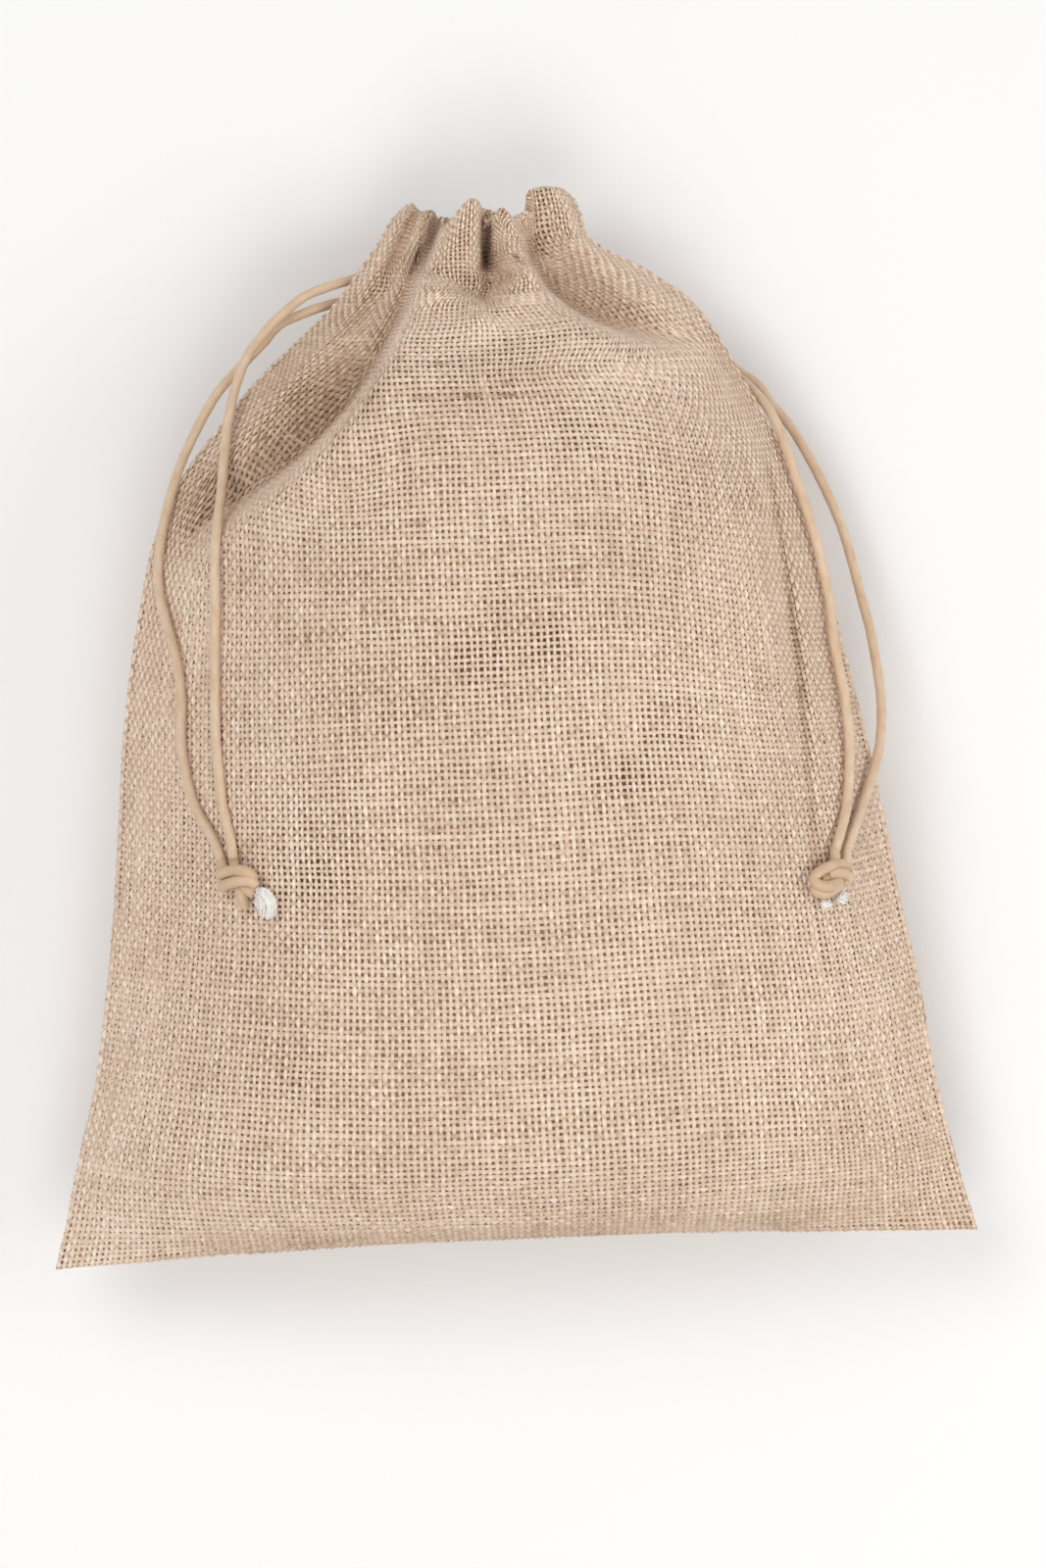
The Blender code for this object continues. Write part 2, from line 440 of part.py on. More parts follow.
def cord_knot(name, at, strands, heart):
    """Overlapping strands drawn tight, made one skin."""
    mesh = bmesh.new()
    for points in strands.values():
        add_strand(mesh, at, points, 1.0, 16)
    add_heart(mesh, at, heart)
    bmesh.ops.recalc_face_normals(mesh, faces=mesh.faces)
    knot = named_object(name, mesh, CORD_TAN, 0.6)
    skin = knot.modifiers.new("skin", "REMESH")
    skin.mode = "VOXEL"
    skin.voxel_size = KNOT_VOXEL * MM
    thin = knot.modifiers.new("thin", "DECIMATE")
    thin.ratio = KNOT_KEPT


def core_end(name, at, points):
    mesh = bmesh.new()
    add_strand(mesh, at, points, 1.2, 10)
    bmesh.ops.recalc_face_normals(mesh, faces=mesh.faces)
    named_object(name, mesh, CORE_WHITE, 0.95)


def main():
    for old in list(bpy.data.objects):
        bpy.data.objects.remove(old)
    sack_body()
    for name in TAILS:
        cord_tail(name)
    cord_knot("left_knot", LEFT_KNOT_AT, LEFT_KNOT, LEFT_KNOT_HEART)
    core_end("left_core_end", LEFT_KNOT_AT, LEFT_CORE)
    cord_knot("right_knot", RIGHT_KNOT_AT, RIGHT_KNOT, RIGHT_KNOT_HEART)
    core_end("right_core_end_a", RIGHT_KNOT_AT, RIGHT_CORE_A)
    core_end("right_core_end_b", RIGHT_KNOT_AT, RIGHT_CORE_B)


main()
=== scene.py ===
import math
import bpy
import numpy as np
from mathutils import Matrix, Vector


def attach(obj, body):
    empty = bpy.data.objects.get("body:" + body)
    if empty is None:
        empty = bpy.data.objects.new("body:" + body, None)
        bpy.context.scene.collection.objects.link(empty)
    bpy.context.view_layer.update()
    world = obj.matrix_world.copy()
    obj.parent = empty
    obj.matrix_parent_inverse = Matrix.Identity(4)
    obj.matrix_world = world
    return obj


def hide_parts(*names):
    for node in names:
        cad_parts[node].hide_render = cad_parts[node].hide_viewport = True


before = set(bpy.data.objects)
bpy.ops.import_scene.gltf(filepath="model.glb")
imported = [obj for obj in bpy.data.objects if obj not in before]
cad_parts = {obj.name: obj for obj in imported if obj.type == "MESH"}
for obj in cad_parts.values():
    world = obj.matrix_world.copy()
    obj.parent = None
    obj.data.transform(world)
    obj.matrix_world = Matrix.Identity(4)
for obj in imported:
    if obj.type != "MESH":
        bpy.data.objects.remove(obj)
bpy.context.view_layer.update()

# Tables and sizes are in millimetres, with Y from the sack's two bottom corners, and middleY at the origin
mm = 0.001
middleY = 171.2


def inFrame(points):
    return (np.asarray(points, float) - (0.0, middleY, 0.0)) * mm


# A smooth line through points, read at even steps. Columns past the third come along
def smoothLine(points, step, finePerSpan=12):
    points = np.array(points, float)
    ends = np.vstack([2 * points[0] - points[1], points, 2 * points[-1] - points[-2]])
    fine = [points[:1]]
    for before, a, b, after in zip(ends, ends[1:], ends[2:], ends[3:]):
        t = np.linspace(0.0, 1.0, finePerSpan + 1)[1:, None]
        bend = 2 * before - 5 * a + 4 * b - after
        fine.append(a + t / 2 * (b - before + t * (bend + t * (3 * a - before - 3 * b + after))))
    line = np.vstack(fine)
    return evenLine(line, max(2, round(lineLength(line) / step)))


def lineLength(line):
    return float(np.linalg.norm(np.diff(line[:, :3], axis=0), axis=1).sum())


def evenLine(line, steps):
    along = np.concatenate([[0.0], np.cumsum(np.linalg.norm(np.diff(line[:, :3], axis=0), axis=1))])
    at = np.linspace(0.0, along[-1], steps + 1)
    return np.stack([np.interp(at, along, column) for column in line.T], axis=1)


def unit(vectors):
    return vectors / np.maximum(np.linalg.norm(vectors, axis=-1, keepdims=True), 1e-9)


# Rings of a round tube along a line, with its ends closed down to a point
def tubeRings(line, radii, sides, tip=0.02):
    run = unit(np.gradient(line, axis=0))
    out = np.array((0.0, 0.0, 1.0)) if abs(run[0][2]) < 0.9 else np.array((1.0, 0.0, 0.0))
    turn = 2 * math.pi * np.arange(sides) / sides
    rings = []
    for place, way, radius in zip(line, run, radii):
        out = unit(out - way * out.dot(way))
        beside = np.cross(way, out)
        rings.append(place + radius * (np.cos(turn)[:, None] * out + np.sin(turn)[:, None] * beside))
    first, last = (ring * tip + end * (1 - tip) for ring, end in ((rings[0], line[0]), (rings[-1], line[-1])))
    return np.array([first] + rings + [last])


# Room left round each strip on the bake map, OFBake
bakeMargins = dict(sides=0.06, ends=0.002)


# One mesh of equal strips or tubes: points are by strip, ring and place across, in table millimetres
def stripMesh(name, points, along, tone, wrap, material):
    count, rings, across = points.shape[:3]
    columns = across if wrap else across - 1
    r, k = np.meshgrid(np.arange(rings - 1), np.arange(columns), indexing="ij")
    beside = (k + 1) % across
    near, far = r * across, (r + 1) * across
    quad = np.stack([near + k, near + beside, far + beside, far + k], -1)
    quads = (np.arange(count)[:, None, None] * rings * across + quad.reshape(1, -1, 4)).reshape(-1, 4)
    acrossAt = np.stack([k, k + 1, k + 1, k], -1).ravel() / columns
    ringAt = np.stack([r, r, r + 1, r + 1], -1).ravel()
    data = bpy.data.meshes.new(name)
    data.from_pydata(inFrame(points.reshape(-1, 3)).tolist(), [], quads.tolist())
    data.polygons.foreach_set("use_smooth", np.ones(len(quads), bool))
    strip = np.arange(count)[:, None]
    sides, ends = bakeMargins["sides"], bakeMargins["ends"]
    bakeU = (strip + sides + (1 - 2 * sides) * acrossAt) / count
    bakeV = ends + (1 - 2 * ends) * ringAt / (rings - 1) + 0 * strip
    maps = {"OFBake": (bakeU, bakeV), "way": (strip + acrossAt, along[:, ringAt])}
    for title, (u, v) in maps.items():
        layer = data.uv_layers.new(name=title)
        layer.data.foreach_set("uv", np.stack([u, v], -1).astype(np.float32).ravel())
    value = data.attributes.new("tone", "FLOAT", "POINT")
    value.data.foreach_set("value", np.broadcast_to(tone, points.shape[:3]).astype(np.float32).ravel())
    data.materials.append(material)
    piece = bpy.data.objects.new(name, data)
    bpy.context.scene.collection.objects.link(piece)
    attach(piece, "root")
    return piece


# The camera looks straight down, as the photograph does. Pixels are those of the whole photograph, foot is
# where the sack's bottom corners meet its middle line, and at scaleHeight a pixel is as wide as given
photo = dict(
    height=1600, pixel=0.318, middle=(533.5, 800.0), foot=(527.0, 1277.0), turn=2.3, sensor=36.0,
    cameraHeight=1600.0, scaleHeight=40.0,
)


def addCamera():
    across = (photo["middle"][0] - photo["foot"][0]) * photo["pixel"]
    onward = (photo["foot"][1] - photo["middle"][1]) * photo["pixel"]
    turn = math.radians(photo["turn"])
    x = across * math.cos(turn) + onward * math.sin(turn)
    y = onward * math.cos(turn) - across * math.sin(turn)
    data = bpy.data.cameras.new("camera")
    data.sensor_fit = "VERTICAL"
    data.sensor_height = photo["sensor"]
    away = photo["cameraHeight"] - photo["scaleHeight"]
    data.lens = photo["sensor"] * away / (photo["height"] * photo["pixel"])
    camera = bpy.data.objects.new("camera", data)
    bpy.context.scene.collection.objects.link(camera)
    place = Vector(inFrame((x, y, photo["cameraHeight"])))
    camera.matrix_world = Matrix.Translation(place) @ Matrix.Rotation(-turn, 4, "Z")
    bpy.context.scene.camera = camera


addCamera()
print("camera placed")


def newMaterial(name, roughness):
    material = bpy.data.materials.new(name)
    material.use_nodes = True
    nodes = material.node_tree.nodes
    shader = nodes["Principled BSDF"]
    shader.inputs["Roughness"].default_value = roughness
    shader.inputs["Specular IOR Level"].default_value = 0.25
    return material, nodes, material.node_tree.links, shader


def addNode(nodes, kind, **settings):
    node = nodes.new("ShaderNode" + kind)
    for name, value in settings.items():
        if hasattr(node, name):
            setattr(node, name, value)
        else:
            node.inputs[name].default_value = value
    return node


def arithmetic(nodes, links, operation, first, second, third=None):
    node = addNode(nodes, "Math", operation=operation)
    for socket, value in zip(node.inputs, (first, second, third)):
        if isinstance(value, (int, float)):
            socket.default_value = value
        elif value is not None:
            links.new(value, socket)
    return node.outputs[0]


# The surface's colour by its shade, from stops of shade and colour
def addColours(nodes, links, shader, shade, stops):
    ramp = addNode(nodes, "ValToRGB")
    elements = ramp.color_ramp.elements
    elements[0].position, elements[0].color = stops[0][0], (*stops[0][1], 1.0)
    elements[1].position, elements[1].color = stops[-1][0], (*stops[-1][1], 1.0)
    for place, colour in stops[1:-1]:
        elements.new(place).color = (*colour, 1.0)
    links.new(shade, ramp.inputs[0])
    links.new(ramp.outputs[0], shader.inputs["Base Color"])


# A node group: noise drawn out along a strand, from the map that follows it, leaning with the strand's twist,
# and the place along the strand
def strandNoiseGroup():
    group = bpy.data.node_groups.new("strandNoise", "ShaderNodeTree")
    for name in ("Across", "Along", "Lean", "Detail"):
        group.interface.new_socket(name, in_out="INPUT", socket_type="NodeSocketFloat")
    for name in ("Noise", "Place"):
        group.interface.new_socket(name, in_out="OUTPUT", socket_type="NodeSocketFloat")
    nodes, links = group.nodes, group.links
    asked, given = nodes.new("NodeGroupInput").outputs, nodes.new("NodeGroupOutput").inputs
    uv = addNode(nodes, "UVMap", uv_map="way")
    parts = addNode(nodes, "SeparateXYZ")
    links.new(uv.outputs[0], parts.inputs[0])
    across, along = parts.outputs[0], parts.outputs[1]
    leaning = arithmetic(nodes, links, "MULTIPLY", along, asked["Lean"])
    joined = addNode(nodes, "CombineXYZ")
    links.new(arithmetic(nodes, links, "MULTIPLY_ADD", across, asked["Across"], leaning), joined.inputs[0])
    links.new(arithmetic(nodes, links, "MULTIPLY", along, asked["Along"]), joined.inputs[1])
    noise = addNode(nodes, "TexNoise", noise_dimensions="3D", Scale=1.0)
    links.new(asked["Detail"], noise.inputs["Detail"])
    links.new(joined.outputs[0], noise.inputs["Vector"])
    links.new(noise.outputs[0], given["Noise"])
    links.new(along, given["Place"])
    return group


strandNoiseTree = strandNoiseGroup()


def strandNoise(nodes, across, along, detail, lean=0.0):
    node = addNode(
        nodes, "Group", node_tree=strandNoiseTree, Across=across, Along=along, Lean=lean, Detail=detail
    )
    return node.outputs["Noise"], node.outputs["Place"]


def addSheen(shader, weight, tint):
    shader.inputs["Sheen Weight"].default_value = weight
    shader.inputs["Sheen Tint"].default_value = (*tint, 1.0)


def addBump(nodes, links, shader, height, distance):
    bump = addNode(nodes, "Bump", Strength=1.0, Distance=distance)
    links.new(height, bump.inputs["Height"])
    links.new(bump.outputs[0], shader.inputs["Normal"])


# The drawcords: width, the spacing and depth of the ribs round them, how light the tails and knots are, and
# waves in the width and tone along them (how much, how often and where they start). Noises on strands are
# given as how fine they are across and along, their detail and their lean
cord = dict(
    width=3.2, step=1.5, sides=14, knotSteps=34, knotSides=16, ribs=0.72, ribShade=0.02, relief=0.00004,
    streakNoise=(3.0, 0.16, 3.0), streaks=0.5, grainNoise=(14.0, 2.4, 2.0), grain=0.5, roughness=0.48,
    sheen=0.18, sheenTint=(0.95, 0.85, 0.88), tailTone=0.60, knotTone=0.50, knotTones=0.03,
    widthWaves=((0.02, 0.9, 0.0), (0.015, 2.3, 1.0)), toneWaves=((0.03, 0.11, 0.0), (0.02, 0.31, 2.0)),
    colours=[(0.25, (0.30, 0.17, 0.085)), (0.6, (0.60, 0.40, 0.235)), (1.0, (0.80, 0.625, 0.465))],
)


# Waxed tan cord: fine ribs round it under a smooth film, with painted shade a little darker between them
def cordMaterial():
    material, nodes, links, shader = newMaterial("waxedCord", cord["roughness"])
    streak, place = strandNoise(nodes, *cord["streakNoise"])
    turns = arithmetic(nodes, links, "MULTIPLY", place, 2 * math.pi / cord["ribs"])
    ribs = arithmetic(nodes, links, "SINE", turns, 0)
    tone = addNode(nodes, "Attribute", attribute_name="tone")
    shade = arithmetic(nodes, links, "MULTIPLY_ADD", streak, cord["streaks"], tone.outputs["Fac"])
    shade = arithmetic(nodes, links, "MULTIPLY_ADD", ribs, cord["ribShade"], shade)
    addColours(nodes, links, shader, shade, cord["colours"])
    grain, _ = strandNoise(nodes, *cord["grainNoise"])
    height = arithmetic(nodes, links, "MULTIPLY_ADD", grain, cord["grain"], ribs)
    addBump(nodes, links, shader, height, cord["relief"])
    addSheen(shader, cord["sheen"], cord["sheenTint"])
    return material


waxedCord = cordMaterial()

# Middle line of each free cord end, from the neck to its knot, as in the part
tails = dict(
    left_tail_a=[
        (-33.5, 320.2, 28.5), (-38.0, 318.6, 32.5), (-42.5, 317.2, 36.8), (-49.0, 315.0, 40.6),
        (-57.0, 311.6, 43.0), (-66.7, 303.7, 45.0),
        (-70.8, 298.8, 46.0), (-74.2, 294.7, 47.2),
        (-77.5, 288.0, 49.2), (-80.8, 276.9, 53.6),
        (-83.0, 262.6, 58.4), (-84.2, 250.3, 63.0),
        (-86.3, 230.2, 75.3), (-86.9, 210.0, 78.4),
        (-87.8, 190.3, 80.4), (-88.1, 170.5, 82.7),
        (-86.9, 150.7, 85.3), (-84.4, 137.5, 88.2),
        (-83.7, 131.3, 89.6),
    ],
    left_tail_b=[
        (-41.0, 312.0, 28.5), (-45.5, 310.8, 32.5), (-50.0, 309.4, 36.6), (-57.0, 307.0, 38.6),
        (-64.8, 303.6, 38.9), (-70.2, 298.2, 38.2),
        (-77.3, 291.3, 38.2), (-86.2, 281.7, 39.6),
        (-94.2, 268.1, 42.0), (-99.9, 254.8, 46.6),
        (-104.8, 236.9, 50.9), (-106.5, 221.7, 53.9),
        (-104.0, 208.4, 60.9), (-100.3, 193.9, 68.1),
        (-99.4, 181.1, 71.0), (-99.8, 168.0, 72.6),
        (-96.8, 151.0, 77.0), (-90.2, 138.1, 83.8),
        (-87.6, 131.3, 87.0),
    ],
    right_tail_outer=[
        (39.6, 322.6, 26.4), (49.0, 318.4, 22.2), (60.0, 310.6, 19.6), (70.0, 299.8, 19.4),
        (78.6, 289.0, 20.8), (84.8, 283.4, 23.6), (90.3, 279.0, 25.2), (94.4, 272.5, 26.4),
        (100.0, 265.2, 27.0), (105.2, 256.0, 27.0), (111.0, 243.8, 26.0), (115.5, 232.4, 25.0),
        (118.5, 221.2, 24.8), (121.2, 208.5, 26.0), (123.5, 197.0, 29.0), (125.0, 184.0, 33.4),
        (125.5, 173.0, 38.0), (124.4, 162.3, 44.0), (122.0, 153.5, 49.6), (119.4, 147.0, 54.4),
        (113.6, 134.0, 65.7), (110.3, 126.3, 71.4),
    ],
    right_tail_inner=[
        (45.5, 316.2, 26.0), (56.0, 308.4, 24.8), (66.0, 299.4, 24.6), (74.8, 290.0, 26.2),
        (81.4, 283.5, 29.8), (87.2, 277.5, 34.4), (92.2, 270.5, 40.6), (96.3, 260.6, 47.0),
        (98.6, 251.5, 49.8), (102.4, 238.5, 50.4), (105.2, 228.0, 50.3), (107.4, 217.0, 50.8),
        (109.3, 206.0, 51.9), (109.8, 194.0, 54.9), (112.5, 174.3, 57.2), (113.1, 158.9, 60.6),
        (111.0, 140.8, 67.8), (107.2, 129.0, 74.0), (106.2, 126.3, 75.3),
    ],
)


def waves(along, parts):
    return sum(size * np.sin(along * often + start) for size, often, start in parts)


def addTail(name):
    line = smoothLine(tails[name], cord["step"])
    along = np.concatenate([[0.0], np.cumsum(np.linalg.norm(np.diff(line, axis=0), axis=1))])
    radii = cord["width"] / 2 * (1 + waves(along, cord["widthWaves"]))
    rings = tubeRings(line, radii, cord["sides"])
    along = np.concatenate([along[:1], along, along[-1:]])
    tone = cord["tailTone"] + waves(along, cord["toneWaves"])
    piece = stripMesh(name + "_cord", rings[None], along[None], tone[None, :, None], True, waxedCord)
    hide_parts(name)


for tailName in tails:
    addTail(tailName)
print("cord ends laid")

# Strands of the knots: across, toward the mouth, height over the cloth, and radius
leftKnot = dict(
    place=(-82.5, 122.8, 87.4), across=0.70, onward=-0.04,
    strands=[
        [(-1.2, 8.5, 2.3, 1.6), (-1.1, 7.0, 3.0, 1.6), (-1.0, 4.0, 4.0, 1.7), (0.4, 0.0, 4.2, 1.8)],
        [(-5.1, 8.5, 2.7, 1.6), (-4.8, 7.0, 3.3, 1.6), (-3.8, 4.0, 4.0, 1.7), (-2.0, 0.0, 4.2, 1.8)],
        [
            (-4.4, 3.9, 2.6, 1.8), (-5.0, 4.0, 5.2, 1.8), (-3.0, 4.9, 7.6, 1.8), (0.4, 5.3, 8.2, 1.8),
            (3.4, 4.5, 7.2, 1.8), (5.0, 2.9, 4.9, 1.8), (4.2, 2.4, 2.9, 1.8),
        ],
        [
            (-4.4, 0.1, 2.6, 1.8), (-5.0, 0.2, 5.2, 1.8), (-3.0, 1.1, 7.7, 1.8), (0.4, 1.9, 8.3, 1.8),
            (3.6, 1.9, 7.3, 1.8), (5.3, 0.9, 5.0, 1.8), (4.6, 0.6, 2.9, 1.8),
        ],
        [(0.3, 0.6, 4.6, 1.9), (1.2, -3.4, 4.4, 1.9), (2.1, -7.0, 3.4, 1.6)],
        [(2.2, 0.6, 5.0, 1.9), (3.8, -1.2, 5.0, 1.9), (5.4, -2.2, 4.6, 1.9)],
    ],
)
rightKnot = dict(
    place=(104.3, 117.5, 75.0), across=-1.03, onward=-0.10,
    strands=[
        [(1.8, 9.2, 3.0, 1.6), (1.7, 8.1, 3.6, 1.6), (1.6, 5.6, 4.0, 1.7), (0.8, 2.4, 4.2, 1.8)],
        [(6.0, 9.2, 3.0, 1.6), (5.8, 8.1, 3.6, 1.6), (5.2, 5.6, 4.0, 1.7), (3.0, 2.4, 4.2, 1.8)],
        [
            (5.6, 3.6, 3.4, 1.7), (4.5, 4.3, 4.8, 1.7), (1.8, 4.6, 6.0, 1.7), (-1.8, 3.6, 6.4, 1.7),
            (-4.8, 2.0, 5.8, 1.7), (-5.9, 0.3, 5.2, 1.7), (-4.9, -1.1, 6.6, 1.7), (-2.3, -2.0, 7.6, 1.7),
            (0.5, -1.7, 7.4, 1.7), (2.6, -0.6, 5.2, 1.7),
        ],
        [
            (-0.9, 1.3, 5.6, 1.6), (1.8, 1.9, 7.2, 1.6), (4.3, 1.7, 7.2, 1.6), (5.9, 0.5, 6.0, 1.6),
            (5.2, -0.7, 4.2, 1.6), (3.8, -1.0, 3.4, 1.6),
        ],
        [
            (-5.6, -2.4, 3.2, 1.6), (-5.2, -3.6, 4.0, 1.6), (-3.1, -4.5, 5.0, 1.6), (-0.5, -4.0, 5.0, 1.6),
            (1.9, -2.7, 4.2, 1.6), (3.0, -1.4, 3.4, 1.6),
        ],
        [(-3.6, 0.2, 3.8, 1.5), (-1.0, 0.6, 4.6, 1.7), (1.4, 0.4, 4.6, 1.7), (3.4, 0.4, 3.8, 1.5)],
    ],
)


# Places given from the middle of a knot that lies on a slope of the cloth
def onSlope(knot, points):
    points = np.array(points, float)
    x, y, z = knot["place"]
    high = z + knot["across"] * points[:, 0] + knot["onward"] * points[:, 1] + points[:, 2]
    return np.column_stack([x + points[:, 0], y + points[:, 1], high, points[:, 3:]])


def addKnot(name, knot):
    rings, along, tones = [], [], []
    for number, strand in enumerate(knot["strands"]):
        line = evenLine(smoothLine(onSlope(knot, strand), 0.6), cord["knotSteps"])
        rings.append(tubeRings(line[:, :3], line[:, 3], cord["knotSides"]))
        along.append(np.linspace(0.0, lineLength(line), len(rings[0])) + 40.0 * number)
        tone = cord["knotTone"] + cord["knotTones"] * math.sin(number * 2.1)
        tones.append(np.full((len(rings[0]), 1), tone))
    piece = stripMesh(name + "_turns", np.array(rings), np.array(along), np.array(tones), True, waxedCord)
    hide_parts(name)
    return piece


leftTurns = addKnot("left_knot", leftKnot)
rightTurns = addKnot("right_knot", rightKnot)


# The frayed white cotton: fibre radii, how they curl and flare, how far the longest stand out, and how light
fray = dict(
    radii=(0.12, 0.24), curl=0.16, curlHeld=0.2, steps=7, sides=4, bundled=0.85, flare=(0.2, 1.0),
    ends=(0.75, 1.25), standOut=3.0, least=0.3, tones=(0.1, 0.6), fleckNoise=(2.0, 0.8, 2.0), flecks=0.4,
    relief=0.00005, roughness=0.95, seed=7,
    colours=[(0.1, (0.88, 0.84, 0.76)), (0.45, (0.97, 0.95, 0.90)), (0.9, (0.99, 0.985, 0.97))],
)


def coreMaterial():
    material, nodes, links, shader = newMaterial("frayedCore", fray["roughness"])
    fleck, _ = strandNoise(nodes, *fray["fleckNoise"])
    tone = addNode(nodes, "Attribute", attribute_name="tone")
    shade = arithmetic(nodes, links, "MULTIPLY_ADD", fleck, fray["flecks"], tone.outputs["Fac"])
    addColours(nodes, links, shader, shade, fray["colours"])
    addBump(nodes, links, shader, fleck, fray["relief"])
    return material


frayedCore = coreMaterial()
coreRandom = np.random.default_rng(fray["seed"])


# A frayed end: a dense core and a tuft of fine fibres that lean out of it
def addCore(name, knot, points, fibres, spread, lineSteps=12):
    line = evenLine(smoothLine(onSlope(knot, points), 0.5), lineSteps)
    run = unit(np.gradient(line[:, :3], axis=0))
    steps = fray["steps"]
    grown = np.linspace(0, 1, steps)[:, None]
    rings, along, tones = [], [], []
    for number in range(fibres):
        turn = coreRandom.uniform(0, 2 * math.pi)
        out = math.sqrt(coreRandom.uniform(0, 1))
        start, end = sorted(coreRandom.uniform(0, 1, 2) * fray["ends"])
        reach = np.linspace(start, max(end, start + fray["least"]), steps)
        at = np.clip(reach, 0, 1) * lineSteps
        middle = np.stack([np.interp(at, np.arange(lineSteps + 1), column) for column in line.T], 1)
        way = run[at.astype(int)]
        side = unit(np.cross(way, (0.0, 0.0, 1.0)))
        up = np.cross(side, way)
        flare = out * (fray["bundled"] + spread * grown**2 * coreRandom.uniform(*fray["flare"]))
        curl = coreRandom.normal(0, fray["curl"], (steps, 3)).cumsum(axis=0)
        curl = curl * (fray["curlHeld"] + (1 - fray["curlHeld"]) * grown)
        radius = middle[:, 3:4] * flare
        place = middle[:, :3] + radius * (math.cos(turn) * side + math.sin(turn) * up) + curl
        place = place + way * np.maximum(reach - 1, 0)[:, None] * fray["standOut"]
        rings.append(tubeRings(place, np.full(steps, coreRandom.uniform(*fray["radii"])), fray["sides"]))
        along.append(np.linspace(0, 5, len(rings[0])) + number)
        tones.append(np.full((len(rings[0]), 1), coreRandom.uniform(*fray["tones"])))
    piece = stripMesh(name + "_tuft", np.array(rings), np.array(along), np.array(tones), True, frayedCore)
    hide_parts(name)
    return piece


leftCore = [(6.0, -1.4, 4.1, 1.9), (8.3, -3.0, 4.3, 2.7), (9.0, -6.0, 4.1, 2.7), (8.6, -9.0, 3.4, 1.7)]
rightCoreA = [(-3.6, -7.2, 3.2, 0.9), (-2.4, -7.8, 3.6, 1.2), (-1.2, -7.6, 3.4, 0.9)]
rightCoreB = [(2.1, -5.2, 3.6, 1.2), (3.1, -6.0, 3.8, 1.8), (4.2, -6.2, 3.6, 1.3)]
leftTuft = addCore("left_core_end", leftKnot, leftCore, 330, 0.5)
rightTuftA = addCore("right_core_end_a", rightKnot, rightCoreA, 120, 0.4)
rightTuftB = addCore("right_core_end_b", rightKnot, rightCoreB, 170, 0.4)

print("knots tied")

# One row of cloth for each line, with its distance from the bottom fold first, as in the part
rowColumns = (
    "cloth front_y crown back_y back_z left_x left_y right_x right_y seam_z swell_left swell_right rest"
).split()
sackRows = [
    (0, 6.5, 64.5, 6.5, 61.5, -150.0, 0.0, 150.0, 1.0, 36.0, 2.6, 2.6, 0.20),
    (6, 7.8, 70.0, 5.0, 54.0, -148.5, 5.5, 148.5, 6.5, 36.5, 2.8, 2.8, 0.20),
    (15, 11.6, 77.5, 4.6, 45.0, -146.0, 14.0, 146.0, 15.5, 37.0, 3.2, 3.2, 0.20),
    (27, 19.5, 86.5, 7.0, 33.0, -143.5, 25.5, 143.5, 27.0, 38.0, 3.5, 3.5, 0.20),
    (41, 30.0, 94.0, 13.5, 19.0, -140.0, 39.0, 140.5, 40.0, 39.5, 3.5, 3.5, 0.25),
    (60, 48.0, 99.8, 26.5, 6.0, -135.0, 57.0, 137.0, 58.5, 41.0, 3.3, 3.4, 0.30),
    (83, 69.5, 104.3, 46.0, 0.0, -131.0, 79.0, 134.0, 81.5, 43.0, 3.0, 3.3, 0.35),
    (110, 95.0, 108.3, 72.5, 0.0, -127.0, 105.5, 129.0, 108.0, 44.5, 2.7, 3.2, 0.40),
    (145, 128.5, 111.0, 107.5, 0.0, -123.5, 139.0, 123.5, 142.5, 45.0, 2.5, 3.2, 0.41),
    (180, 162.5, 111.0, 142.0, 0.0, -120.0, 175.0, 117.0, 176.0, 45.0, 2.4, 3.2, 0.41),
    (212, 193.0, 109.7, 173.5, 0.0, -114.0, 209.5, 110.5, 206.0, 45.0, 2.4, 3.2, 0.41),
    (240, 219.5, 107.2, 201.0, 0.0, -106.5, 238.5, 104.5, 232.5, 45.0, 2.4, 3.2, 0.40),
    (262, 240.0, 103.5, 223.0, 0.0, -95.5, 258.5, 98.5, 252.5, 44.5, 2.5, 3.2, 0.38),
    (280, 257.0, 99.0, 241.0, 0.8, -84.0, 272.5, 90.5, 268.5, 44.0, 2.6, 3.1, 0.36),
    (296, 271.0, 92.5, 256.5, 3.5, -75.0, 283.0, 83.5, 282.0, 43.5, 2.6, 3.0, 0.33),
    (310, 283.0, 85.0, 270.0, 7.0, -67.0, 291.0, 77.5, 293.5, 43.0, 2.6, 2.9, 0.30),
    (322, 292.0, 77.0, 281.0, 10.5, -60.5, 296.5, 72.0, 302.0, 43.0, 2.6, 2.8, 0.28),
    (333, 299.5, 69.5, 291.0, 14.0, -55.0, 301.5, 66.0, 308.5, 42.5, 2.6, 2.7, 0.26),
    (343, 305.0, 63.0, 300.0, 17.5, -50.0, 306.0, 59.5, 313.0, 42.5, 2.6, 2.6, 0.25),
    (352, 309.5, 57.5, 306.0, 20.5, -45.0, 311.0, 54.0, 317.0, 42.0, 2.6, 2.6, 0.25),
    (361, 314.0, 53.5, 311.5, 23.0, -40.5, 317.0, 47.5, 320.5, 42.0, 2.6, 2.6, 0.25),
    (370, 319.0, 51.5, 316.5, 24.5, -35.5, 323.5, 41.5, 324.0, 41.5, 2.6, 2.6, 0.25),
    (380, 325.5, 51.5, 321.5, 24.5, -30.5, 330.5, 36.0, 328.5, 41.0, 2.6, 2.6, 0.25),
    (390, 332.0, 53.0, 326.0, 23.5, -27.0, 336.5, 34.5, 335.5, 40.0, 2.6, 2.6, 0.25),
    (400, 337.5, 54.5, 330.5, 22.0, -21.5, 341.2, 32.0, 341.3, 39.0, 2.6, 2.6, 0.25),
]
foldColumns = "x1 y1 x2 y2 x3 y3 rise1 rise2 rise3 left1 left3 right1 right3 blunt".split()
